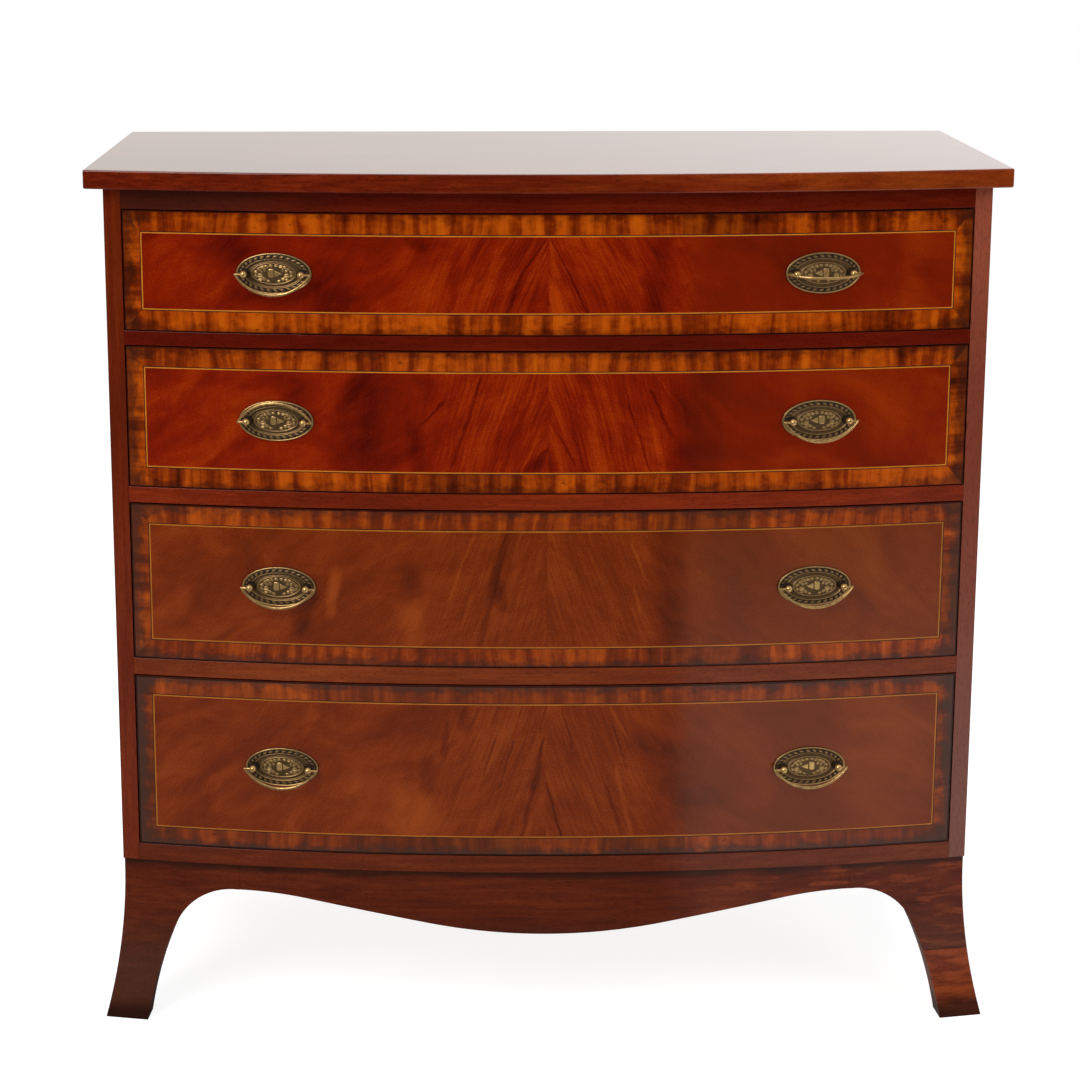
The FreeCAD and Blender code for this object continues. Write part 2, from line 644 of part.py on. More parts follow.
def outward_rod(name, radius, start, end, x=0):
    """Rod square to the wood, from start to end before its face."""
    item = rod(name, radius, end - start)
    item.Placement = FreeCAD.Placement(FreeCAD.Vector(), BACKWARDS)
    return put(item, x, -as_size(start))


def oval(name, width, height, start, end):
    """Oval plate between two distances before the wood."""
    wire = doc.addObject("Part::Ellipse", name + "_edge")
    bind(wire, MajorRadius=width / 2, MinorRadius=height / 2)
    wire.Placement = FreeCAD.Placement(FreeCAD.Vector(), BACKWARDS)
    put(wire, y=-as_size(start))
    plate = joined("Part::Extrusion", name, Base=wire, Solid=True, DirMode="Custom",
                   Dir=FreeCAD.Vector(0, -1, 0))
    return bind(plate, LengthFwd=end - start)


def backplate():
    thin, rim = d["plate_thickness"], d["plate_rim_height"]
    width = d["boring"] + 2 * d["plate_margin"]
    blank = oval("plate_blank", width, d["plate_height"], as_size(0), rim)
    field = oval("plate_field", width - 2 * d["plate_rim"],
                 d["plate_height"] - 2 * d["plate_rim"], thin, rim + thin)
    boss = oval("plate_boss", d["boring"] - 2 * d["plate_boss_margin"], d["plate_boss_height"],
                as_size(0), d["plate_boss_rise"])
    plate = fused("plate_body", cut("plate_dish", blank, field), boss)
    bore = d["shank_radius"] + d["shank_clearance"]
    holes = [outward_rod(f"plate_hole_{side}", bore, -thin, 2 * rim, sign * HALF_BORING)
             for side, sign in (("left", -1), ("right", 1))]
    return cut("plate", plate, group("plate_holes", *holes))


def sideways_rod(name, radius, start, end):
    """Rod along the pivot line between two places on it."""
    item = rod(name, radius, end - start)
    item.Placement = FreeCAD.Placement(FreeCAD.Vector(), FreeCAD.Rotation(FreeCAD.Vector(0, 1, 0), 90))
    return put(item, start, -d["pivot_stand"])


def right_post():
    """Post of the right end of a handle: shank, collar, neck and bored ball, and its nut.

    The inner face of a front is hollow, so the nut's seat lies NUT_STAND behind its middle.
    """
    behind = d["front_thickness"] + d["shank_tail"]
    seat = d["plate_rim_height"]
    ball = put(bind(doc.addObject("Part::Sphere", "post_ball"), Radius=d["ball_radius"]),
               HALF_BORING, -d["pivot_stand"])
    post = fused("post_blank",
                 outward_rod("post_shank", d["shank_radius"], -behind, seat, HALF_BORING),
                 outward_rod("post_collar", d["collar_radius"], seat,
                             seat + d["collar_thickness"], HALF_BORING),
                 outward_rod("post_neck", d["neck_radius"], seat, d["pivot_stand"], HALF_BORING),
                 ball)
    mouth = HALF_BORING + d["ball_radius"]
    bore = sideways_rod("post_bore", d["pivot_radius"] + d["pivot_clearance"],
                        mouth - d["pivot_depth"], mouth + d["pivot_radius"])
    nut = doc.addObject("Part::Prism", "post_nut_blank")
    nut.Placement = FreeCAD.Placement(FreeCAD.Vector(), BACKWARDS)
    bind(nut, Circumradius=d["nut_flats"] / 2, Height=d["nut_thickness"])
    put(nut, HALF_BORING, d["front_thickness"] + d["nut_thickness"] + NUT_STAND)
    thread = outward_rod("post_nut_thread", d["shank_radius"] + d["nut_clearance"],
                         -2 * behind, as_size(0), HALF_BORING)
    return group("post", cut("post_bored", post, bore), cut("post_nut", nut, thread))


def bail(name):
    """Crescent bail with a pin at each tip that points inwards into its post."""
    half, tip = HALF_BORING + d["bail_margin"], d["bail_tip"]
    drop, inner_drop = d["bail_drop"], d["bail_drop"] - d["bail_middle"]
    inner = half - tip
    outer_radius = (half * half + drop * drop) / (2 * drop)
    inner_radius = (inner * inner + inner_drop * inner_drop) / (2 * inner_drop)
    rise = d["pivot_radius"]
    corners = [(-half, 0), (0, -drop), (half, 0), (half, rise), (inner, rise), (inner, 0),
               (0, -inner_drop), (-inner, 0), (-inner, rise), (-half, rise)]
    curves = {0: (outer_radius, 1), 1: (outer_radius, 1),
              5: (inner_radius, -1), 6: (inner_radius, -1)}
    crescent = padded(name + "_crescent", "XZ_Plane", corners, d["bail_depth"], curves,
                      midplane=True)
    put(crescent, y=-d["pivot_stand"])
    start = HALF_BORING + d["ball_radius"] - d["pivot_depth"] + d["pivot_end_gap"]
    pin = sideways_rod(name + "_pin", d["pivot_radius"], start, half - tip / 2)
    return fused(name, crescent, pin, mirrored(name + "_pin_left", pin))


def on_front(name, piece, side, height):
    """Place a piece of a handle on the bowed front of a drawer, square to it."""
    placed = group(name, piece)
    turn = FreeCAD.Rotation(FreeCAD.Vector(0, 0, 1), 1)
    placed.Placement = FreeCAD.Placement(FreeCAD.Vector(), turn)
    angle = Size(f"(asin({d['handle_place'].rule} / {BOW_RADIUS.rule}))", 0)
    bind(placed, Placement__Rotation__Angle=side * angle)
    return put(placed, side * d["handle_place"], HANDLE_FACE, height)


# ---------------------------------------------------------------- the drawers
DRAWER_HALF = laid_out("drawer_half", HALF_OPENING - d["front_side_gap"])
DRAWER_INNER = laid_out("drawer_inner", DRAWER_HALF - d["drawer_side_thickness"])
TAIL_END = laid_out("tail_end", bowed_y(BOW_RADIUS, DRAWER_HALF) + d["lap"])
TAIL_ROOT = laid_out("tail_root", bowed_y(INNER_RADIUS, DRAWER_INNER))
DRAWER_REAR = laid_out("drawer_rear", PANEL_FACE - d["rear_gap"])


def drawer_side(name, foot, height):
    """Right side of a drawer: grooved for the bottom, dovetailed at both ends."""
    groove, top = d["panel_height"], d["panel_height"] + d["panel_thickness"]
    floor = DRAWER_INNER + d["groove_depth"]
    section = [(DRAWER_INNER, 0), (DRAWER_HALF, 0), (DRAWER_HALF, height), (DRAWER_INNER, height),
               (DRAWER_INNER, top), (floor, top), (floor, groove), (DRAWER_INNER, groove)]
    body = doc.addObject("PartDesign::Body", name)
    sketch = draw_outline(sketch_on(body, "XZ_Plane", name + "_section"), section)
    pad = body.newObject("PartDesign::Pad", name + "_pad")
    pad.Profile = sketch
    pad.Reversed = True
    bind(pad, Length=DRAWER_REAR - TAIL_END)

    half_end, half_root = d["pin_end_width"] / 2, d["pin_root_width"] / 2
    middle = d["first_pin"]
    length = DRAWER_REAR - TAIL_END
    front_root = TAIL_ROOT - TAIL_END
    rear_root = length - d["drawer_back_thickness"]
    sockets = sketch_on(body, "YZ_Plane", name + "_sockets")
    for end, root_at in ((as_size(0), front_root), (length, rear_root)):
        draw_outline(sockets, [(end, middle - half_end), (root_at, middle - half_root),
                               (root_at, middle + half_root), (end, middle + half_end)])
    pocket = body.newObject("PartDesign::Pocket", name + "_pins")
    pocket.Profile = sockets
    pocket.Type = "ThroughAll"
    pocket.SideType = "Symmetric"
    pattern = body.newObject("PartDesign::LinearPattern", name + "_row")
    pattern.Originals = [pocket]
    pattern.Direction = (sockets, ["V_Axis"])
    pattern.Mode = "Spacing"
    count = Size(f"(floor(({height.rule} - {d['first_pin'].rule} - {d['pin_root_width'].rule})"
                 f" / {d['pin_pitch'].rule}) + 1)", 0)
    bind(pattern, Offset=d["pin_pitch"], Occurrences=count)
    body.Tip = pattern
    return put(body, y=TAIL_END, z=foot)


def make_drawer(i, plate, posts, shanks, bails):
    """Drawer i: bowed front, dovetailed sides and back, grooved-in bottom and two handles."""
    name = f"drawer_{i}"
    foot = laid_out(f"{name}_foot",
                    OPENING_FOOT[i - 1] + d["runner_rise"] + d["running_gap"])
    head = laid_out(f"{name}_head",
                    OPENING_FOOT[i - 1] + OPENING_HEIGHTS[i - 1] - d["front_top_gap"])
    side_height = laid_out(f"{name}_side_height", head - d["side_drop"] - foot)
    middle = (foot + head) / 2
    panel = foot + d["panel_height"]

    right = drawer_side(name + "_side", foot, side_height)
    left = mirrored(name + "_side_left", right)
    sides = group(name + "_sides", left, right)

    blank = bowed_strip(name + "_front_blank", DRAWER_HALF, BOW_RADIUS, d["front_thickness"],
                        foot, head - foot)
    groove_radius = INNER_RADIUS + d["groove_depth"]
    groove = bowed_board(name + "_groove", DRAWER_INNER + d["groove_depth"], groove_radius,
                         RAIL_BACK, panel, d["panel_thickness"])
    holes = [on_front(f"{name}_holes_{side}", shanks, sign, middle)
             for side, sign in (("left", -1), ("right", 1))]
    front = cut(name + "_front_board", blank, group(name + "_front_cuts", sides, groove, *holes))
    name_node(front, name + "_front")
    name_node(right, name + "_right_side")
    name_node(left, name + "_left_side")

    back = box(name + "_back_blank", (-DRAWER_HALF, DRAWER_HALF),
               (DRAWER_REAR - d["drawer_back_thickness"], DRAWER_REAR),
               (panel + d["panel_thickness"], foot + side_height))
    name_node(cut(name + "_back_board", back, sides), name + "_back")

    reach = DRAWER_INNER + d["groove_depth"] - d["panel_gap"]
    bottom = bowed_board(name + "_panel", reach, groove_radius - d["panel_gap"],
                         DRAWER_REAR, panel, d["panel_thickness"])
    name_node(bottom, name + "_bottom")

    for what, piece in (("backplates", plate), ("posts", posts)):
        pair = [on_front(f"{name}_{what}_{side}", piece, sign, middle)
                for side, sign in (("left", -1), ("right", 1))]
        name_node(group(f"{name}_{what}_pair", *pair), f"{name}_{what}")
    for side, sign in (("left", -1), ("right", 1)):
        piece = bails.get((i, side), bails["hanging"])
        name_node(on_front(f"{name}_{side}_bail_placed", piece, sign, middle),
                  f"{name}_{side}_bail")


def turned_bail(name, hanging, angle):
    """The same bail turned up about its pivot line."""
    turned = group(name, hanging)
    about = FreeCAD.Rotation(FreeCAD.Vector(1, 0, 0), 1)
    turned.Placement = FreeCAD.Placement(FreeCAD.Vector(), about)
    stand = d["pivot_stand"]
    bind(turned, Placement__Rotation__Angle=-angle)
    cosine = Size(f"cos({angle.rule} * 1 deg)", math.cos(math.radians(angle.value)))
    sine = Size(f"sin({angle.rule} * 1 deg)", math.sin(math.radians(angle.value)))
    return put(turned, 0, -stand + stand * cosine, -stand * sine)


def make_drawers():
    plate = backplate()
    post = right_post()
    posts = group("posts", post, mirrored("post_left", post))
    behind = d["front_thickness"] * 2
    bore = d["shank_radius"] + d["shank_clearance"]
    shanks = group("shank_bores", *[outward_rod(f"shank_bore_{side}", bore, -behind, behind / 2,
                                                sign * HALF_BORING)
                                    for side, sign in (("left", -1), ("right", 1))])
    hanging = bail("bail")
    bails = {"hanging": hanging,
             (1, "right"): turned_bail("bail_raised", hanging, d["raised_angle"]),
             (2, "left"): turned_bail("bail_turned_up", hanging, d["turned_up_angle"])}
    for i in range(1, 5):
        make_drawer(i, plate, posts, shanks, bails)


def write_parts():
    """Check the whole document, then write one STEP file for each sub-part."""
    doc.recompute()
    for item in doc.Objects:
        if {"Invalid", "Error"} & set(item.State):
            raise RuntimeError(f"{item.Name} failed: {item.State}")
    for node in nodes:
        if node.Shape.isNull() or not node.Shape.isValid() or not node.Shape.Solids:
            raise RuntimeError(f"{node.Label} has no valid shape")
    os.makedirs("parts", exist_ok=True)
    for node in nodes:
        node.Shape.exportStep(f"parts/{node.Label}.step")
        print(f"{node.Label}: {len(node.Shape.Solids)} solids, {node.Shape.Volume / 1000:.1f} cm3")


make_top()
make_sides()
make_rails()
make_back_and_bottom()
make_runners()
make_stops()
FRONT_FOOT, SIDE_STOCK = make_front_foot()
BACK_FOOT = make_back_foot(SIDE_STOCK)
make_aprons()
make_glue_blocks(FRONT_FOOT, BACK_FOOT)
make_drawers()
write_parts()
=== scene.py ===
"""Bow front chest of drawers: its woods, inlays and brasses, and the studio that it stands in.

Everything is in metres, with Z up, the front towards -Y and the floor at Z = 0.  Every bowed
face is part of a cylinder about one upright axis behind the chest, the bow axis.
"""
import math

import bpy
import numpy as np
from bpy.props import FloatProperty, FloatVectorProperty, PointerProperty
from mathutils import Matrix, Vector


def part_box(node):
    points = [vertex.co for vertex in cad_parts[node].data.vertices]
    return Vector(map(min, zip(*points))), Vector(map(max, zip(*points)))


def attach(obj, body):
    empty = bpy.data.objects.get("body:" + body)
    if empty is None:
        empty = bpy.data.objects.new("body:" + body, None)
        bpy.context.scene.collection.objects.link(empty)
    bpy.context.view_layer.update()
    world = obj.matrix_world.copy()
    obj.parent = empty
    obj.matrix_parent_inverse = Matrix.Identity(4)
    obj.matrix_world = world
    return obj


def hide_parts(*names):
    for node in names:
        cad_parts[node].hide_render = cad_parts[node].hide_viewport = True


bl_info = {
    "name": "Bow Front Chest",
    "version": (1, 0, 0),
    "blender": (4, 5, 0),
    "location": "3D View > Sidebar > Chest",
    "description": "Woods, inlays and brasses of a bow front chest of drawers",
    "category": "Object",
}

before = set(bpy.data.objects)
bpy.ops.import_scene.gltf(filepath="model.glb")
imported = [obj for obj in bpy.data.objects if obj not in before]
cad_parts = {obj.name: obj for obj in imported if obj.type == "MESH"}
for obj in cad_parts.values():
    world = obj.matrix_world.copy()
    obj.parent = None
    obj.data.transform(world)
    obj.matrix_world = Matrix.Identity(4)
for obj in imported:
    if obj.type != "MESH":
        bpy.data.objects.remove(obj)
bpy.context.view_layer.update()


# ---------------------------------------------------------------- places taken from the frame
def box_of(node):
    """Lowest and highest corner of a part of the frame."""
    low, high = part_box(node)
    return np.array(low), np.array(high)


TOP_LOW, TOP_HIGH = box_of("top")
SIDE_LOW, SIDE_HIGH = box_of("right_side")
PANEL_LOW, PANEL_HIGH = box_of("back_panel")
CASE_HALF = SIDE_HIGH[0]
OPENING_HALF = SIDE_LOW[0]
BACK = SIDE_HIGH[1]
BASE_TOP = SIDE_LOW[2]

# the bow: its rise over the case's width, and its radius and upright axis from them
BOW_RISE = 0.05
BOW_RADIUS = (CASE_HALF ** 2 + BOW_RISE ** 2) / (2 * BOW_RISE)
BOW_AXIS = box_of("bottom_rail")[0][1] + BOW_RADIUS
TOP_RADIUS = BOW_AXIS - TOP_LOW[1]
TOP_ARRIS = 0.002

# the base: boards set in a little from the case, and a cut edge turned from straight back
BASE_INSET = 0.0014
BASE_STOCK = 0.030
BASE_HALF = CASE_HALF - BASE_INSET
BASE_RADIUS = BOW_RADIUS - BASE_INSET
BASE_CORNER = BOW_AXIS - math.sqrt(BASE_RADIUS ** 2 - BASE_HALF ** 2)
BRACKET_STOCK = 0.018
CUT_TURN = math.radians(4.5)

# the feet: how far and from what height they splay, and the curves of their lower edge
SPLAY = 0.0245
SPLAY_HEIGHT = BASE_TOP - 0.009
SPLAY_RADIUS = (SPLAY_HEIGHT ** 2 + SPLAY ** 2) / (2 * SPLAY)
FOOT_REACH = 0.135
FOOT_JOINT = BASE_HALF - FOOT_REACH
HEAD_REACH = 0.05
TOE_REACH = 0.0275
KNEE = (0.062, 0.1165)
LEG_RADIUS = 0.400
ARCH_RADIUS = 0.075
ARCH_TOP = BASE_TOP - 0.0305
APRON_FLOOR = BASE_TOP - 0.0753
APRON_SLOPE = 0.716
HANGING_SHARE = 0.63

# the handles: between a pair of posts, from the middle of the chest, and from front to pivot
BORING = 0.0635
HANDLE_PLACE = 0.300
HANDLE_TURN = math.asin(HANDLE_PLACE / BOW_RADIUS)
PIVOT_STAND = 0.012

# how far the two stiff bails stand up; the others hang
RAISED = {(1, "right"): math.radians(86), (2, "left"): math.radians(172)}
SIDES = (("left", -1), ("right", 1))
DRAWERS = (1, 2, 3, 4)


def on_bow(x, radius):
    """Where a cylinder of this radius about the bow axis crosses the upright plane at x."""
    return BOW_AXIS - np.sqrt(radius ** 2 - x ** 2)


def span(low, high, count):
    return np.linspace(low, high, count)


def whole_turn(count):
    """Angles of points spread evenly round a circle."""
    return span(0, 2 * math.pi, count + 1)[:-1]


def grid(first, second):
    return np.meshgrid(first, second, indexing="ij")


def spots(x, y, z):
    """Points from coordinates that are single numbers or arrays that broadcast together."""
    return np.stack(np.broadcast_arrays(x, y, z), -1)


# ---------------------------------------------------------------- surfaces
class Shell:
    """Points, blocks of faces with equally many corners, and values held at the points."""

    def __init__(self, points, faces, **values):
        self.points = np.asarray(points, float).reshape(-1, 3)
        self.faces = faces
        self.values = values
        if self.volume() < 0:
            self.faces = [block[:, ::-1] for block in faces]

    def volume(self):
        """Six times the volume: each face's fan of triangles, seen from the origin."""
        total = 0.0
        for block in self.faces:
            ring = self.points[block]
            for i in range(1, block.shape[1] - 1):
                total += np.sum(ring[:, 0] * np.cross(ring[:, i], ring[:, i + 1]))
        return total

    def __add__(self, other):
        merged = Shell.__new__(Shell)
        merged.points = np.concatenate([self.points, other.points])
        merged.faces = self.faces + [block + len(self.points) for block in other.faces]
        merged.values = {name: np.concatenate([value, other.values[name]])
                         for name, value in self.values.items()}
        return merged

    def moved(self, change):
        """The same shell with its points changed by a function that keeps it right side out."""
        return Shell(change(self.points), self.faces, **self.values)


def total(shells):
    result = shells[0]
    for shell in shells[1:]:
        result = result + shell
    return result


def grid_faces(n, m):
    """Quads of a grid of n by m points, numbered along m first."""
    i, j = grid(np.arange(n - 1), np.arange(m - 1))
    a = (i * m + j).ravel()
    return np.stack([a, a + m, a + m + 1, a + 1], axis=1)


def slab(outer, inner, **values):
    """Board between two grids of n by m points: both faces, and a rim along their border."""
    n, m = outer.shape[:2]
    count = n * m
    number = np.arange(count).reshape(n, m)
    loop = np.concatenate([number[:, 0], number[-1, 1:], number[-2::-1, -1], number[0, -2:0:-1]])
    after = np.roll(loop, -1)
    rim = np.stack([after, loop, loop + count, after + count], axis=1)
    face = grid_faces(n, m)
    points = np.concatenate([outer.reshape(-1, 3), inner.reshape(-1, 3)])
    both = {name: np.concatenate([value.reshape(count, -1)] * 2) for name, value in values.items()}
    return Shell(points, [face, face[:, ::-1] + count, rim], **both)


def rings(points, **values):
    """Closed surface through k rings of n points, shut at each end by a fan about its middle."""
    k, n = points.shape[:2]
    number = np.arange(k * n).reshape(k, n)
    here, there = number[:-1], number[1:]
    quads = np.stack([here, np.roll(here, -1, 1), np.roll(there, -1, 1), there], -1).reshape(-1, 4)
    start, end = k * n, k * n + 1
    first, last = number[0], number[-1]
    fans = np.concatenate([np.stack([np.full(n, start), np.roll(first, -1), first], 1),
                           np.stack([np.full(n, end), last, np.roll(last, -1)], 1)])

    def with_poles(value):
        value = value.reshape(k, n, -1)
        return np.concatenate([value.reshape(k * n, -1), value[[0, -1]].mean(1)])
    held = {name: with_poles(value) for name, value in values.items()}
    return Shell(with_poles(points), [quads, fans], **held)


def prism(outline, low, high):
    """Upright board on an outline in plan."""
    n = len(outline)
    ends = [spots(*outline.T, z) for z in (low, high)]
    here = np.arange(n)
    after = np.roll(here, -1)
    walls = np.stack([here, after, after + n, here + n], axis=1)
    return Shell(np.concatenate(ends), [walls, here[None, ::-1], here[None] + n])


def arc(start, end, radius, count):
    """Points from start to end on an arc whose centre lies to the right of the way there."""
    start, end = np.array(start), np.array(end)
    chord = end - start
    length = np.hypot(*chord)
    right = np.array([chord[1], -chord[0]]) / length
    centre = (start + end) / 2 + right * math.sqrt(radius ** 2 - length ** 2 / 4)
    angles = [math.atan2(*(point - centre)[::-1]) for point in (start, end)]
    turn = span(*angles, count)
    return centre + radius * np.stack([np.cos(turn), np.sin(turn)], axis=1)


def piece(name, shell, finish, body, replaces=(), arris=0.0, segments=2, crease=35):
    """A named piece of one shell: smooth but for its creases, its edges eased by arris."""
    mesh = bpy.data.meshes.new(name)
    mesh.from_pydata(shell.points.tolist(), [], [face for block in shell.faces
                                                for face in block.tolist()])
    if "across" in shell.values:
        corners = np.zeros(len(mesh.loops), np.int32)
        mesh.loops.foreach_get("vertex_index", corners)
        layer = mesh.uv_layers.new(name="along")
        layer.data.foreach_set("uv", shell.values["across"][corners].astype(np.float32).ravel())
    for label, value in shell.values.items():
        if label != "across":
            held = mesh.attributes.new(label, "FLOAT", "POINT")
            held.data.foreach_set("value", value.astype(np.float32).ravel())
    mesh.shade_smooth()
    mesh.set_sharp_from_angle(angle=math.radians(crease))
    mesh.materials.append(finish)
    item = bpy.data.objects.new(name, mesh)
    bpy.context.scene.collection.objects.link(item)
    if arris:
        eased = item.modifiers.new("eased edges", "BEVEL")
        eased.width, eased.segments = arris, segments
        eased.limit_method, eased.angle_limit = "ANGLE", math.radians(crease)
        eased.harden_normals = True
    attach(item, body)
    if replaces:
        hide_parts(*replaces)


def case_piece(name, shell, finish, node):
    """Piece that stands in for one part of the case, with its edges eased."""
    piece(name, shell, finish, "case", [node], bpy.context.scene.chest_inlay.arris)


def finish_node(node, finish):
    """Give a kept part of the frame its finish."""
    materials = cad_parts[node].data.materials
    materials.clear()
    materials.append(finish)


# ---------------------------------------------------------------- shaders
class Value:
    """A socket's value: sums on it add Math nodes to its finish."""

    def __init__(self, finish, socket):
        self.finish = finish
        self.socket = socket

    def maths(self, operation, *values, clamp=False):
        return self.finish.node("Math", dict(enumerate(values)), operation=operation,
                                use_clamp=clamp)

    def __add__(self, other):
        return self.maths("ADD", self, other)

    def __sub__(self, other):
        return self.maths("SUBTRACT", self, other)

    def __rsub__(self, other):
        return self.maths("SUBTRACT", other, self)

    def __mul__(self, other):
        return self.maths("MULTIPLY", self, other)

    def __truediv__(self, other):
        return self.maths("DIVIDE", self, other)

    def __rtruediv__(self, other):
        return self.maths("DIVIDE", other, self)

    def __abs__(self):
        return self.maths("ABSOLUTE", self)

    __radd__ = __add__
    __rmul__ = __mul__

    def clipped(self):
        return self.maths("ADD", self, 0.0, clamp=True)

    def most(self, other):
        return self.maths("MAXIMUM", self, other)

    def step(self, low, high):
        """0 up to low and 1 from high, or the other way round, with a smooth rise between."""
        if low > high:
            return 1.0 - self.step(high, low)
        return self.finish.node("MapRange", {"Value": self, "From Min": low, "From Max": high},
                                interpolation_type="SMOOTHSTEP")


class Finish:
    """A node tree, of a material or of the world, and one method that adds any node to it."""

    def __init__(self, owner):
        owner.use_nodes = True
        self.owner = owner
        self.tree = owner.node_tree
        self.tree.nodes.clear()

    def feed(self, socket, value):
        if isinstance(value, Value):
            self.tree.links.new(value.socket, socket)
        elif isinstance(value, tuple) and len(value) == 3 and socket.type == "RGBA":
            socket.default_value = (*value, 1.0)
        else:
            socket.default_value = value

    def node(self, kind, inputs=None, output=0, stops=None, **settings):
        item = self.tree.nodes.new("ShaderNode" + kind)
        for name, value in settings.items():
            setattr(item, name, value)
        if stops:
            ramp = item.color_ramp
            while len(ramp.elements) < len(stops):
                ramp.elements.new(1.0)
            for element, (place, colour) in zip(ramp.elements, stops):
                element.position, element.color = place, (*colour, 1.0)
        for name, value in (inputs or {}).items():
            self.feed(item.inputs[name], value)
        return Value(self, item.outputs[output])

    def out(self, kind, shader):
        end = self.tree.nodes.new(kind)
        self.tree.links.new(shader.socket, end.inputs["Surface"])
        return self.owner

    def place(self, kind="Object"):
        return self.node("TexCoord", output=kind)

    def held(self, name):
        """A value that the piece's mesh holds at its points."""
        return self.node("Attribute", output=2, attribute_name=name)

    def parts(self, vector):
        cut = self.tree.nodes.new("ShaderNodeSeparateXYZ")
        self.tree.links.new(vector.socket, cut.inputs[0])
        return [Value(self, socket) for socket in cut.outputs]

    def vector(self, x, y, z):
        return self.node("CombineXYZ", {0: x, 1: y, 2: z})

    def scaled(self, vector, scale, shift=(0.0, 0.0, 0.0)):
        return self.node("Mapping", {"Vector": vector, "Scale": scale, "Location": shift})

    def noise(self, vector, scale, detail=3.0, rough=0.5, bend=0.0):
        return self.node("TexNoise", {"Vector": vector, "Scale": scale, "Detail": detail,
                                      "Roughness": rough, "Distortion": bend})

    def grained(self, vector, grain, share, *settings):
        """Noise drawn out along the grain, whose axis is scaled by the share."""
        scale = tuple(share if axis == grain else 1.0 for axis in "xyz")
        return self.noise(self.scaled(vector, scale), *settings)

    def blend(self, share, first, second, blend_type="MIX"):
        """Two colours mixed by a share from 0 to 1."""
        return self.node("Mix", {0: share, 6: first, 7: second}, output=2, data_type="RGBA",
                         blend_type=blend_type, clamp_factor=True)

    def ramp(self, value, *stops):
        return self.node("ValToRGB", {0: value}, stops=list(stops))

    def bump(self, height, distance, strength):
        return self.node("Bump", {"Height": height, "Distance": distance, "Strength": strength})

    def surface(self, **inputs):
        """Polished or bare surface; an input's name has _ for each space."""
        named = {name.replace("_", " "): value for name, value in inputs.items()}
        return self.out("ShaderNodeOutputMaterial", self.node("BsdfPrincipled", named))


def new_finish(name):
    return Finish(bpy.data.materials.new(name))


def tinted(colour, share):
    """A colour times one number or three."""
    return tuple(np.multiply(tuple(colour), share))


POLISH = {"Specular_IOR_Level": 0.0, "Coat_IOR": 1.5}


def polished_wood(name, grain, shades, streaks=150.0, contrast=1.6, seed=0.0, coat=0.7, haze=0.1,
                  change=None):
    """Polished solid wood: fine streaks and pores drawn out along the grain over a slow figure.

    The shade runs from the first colour to the last by 0.5 x streaks + 0.5 x figure, spread by
    contrast; change may then work on the finish, its place and its colour.
    """
    f = new_finish(name)
    at = f.scaled(f.place(), (1.0, 1.0, 1.0), (seed, seed * 1.7, seed * 2.3))
    fine = f.grained(at, grain, 0.045, streaks, 6.0, 0.62, 0.4)
    slow = f.grained(at, grain, 0.3, 9.0, 4.0, 0.55, 0.6)
    share = ((fine * 0.5 + slow * 0.5 - 0.5) * contrast + 0.5).clipped()
    dark, middle, light = shades
    colour = f.ramp(share, (0.0, dark), (0.5, middle), (1.0, light))
    if change:
        colour = change(f, at, colour)
    pore = f.grained(at, grain, 0.07, 1700.0, 2.0, 0.5).step(0.56, 0.68)
    colour = f.blend(pore * 0.55, colour, tinted(dark, 0.35))
    f.surface(Base_Color=colour, Roughness=fine * 0.12 + 0.34,
              Coat_Weight=coat, Coat_Roughness=haze,
              Normal=f.bump(fine * 0.3 - pore, 0.00008, 0.5), **POLISH)
    return f.owner


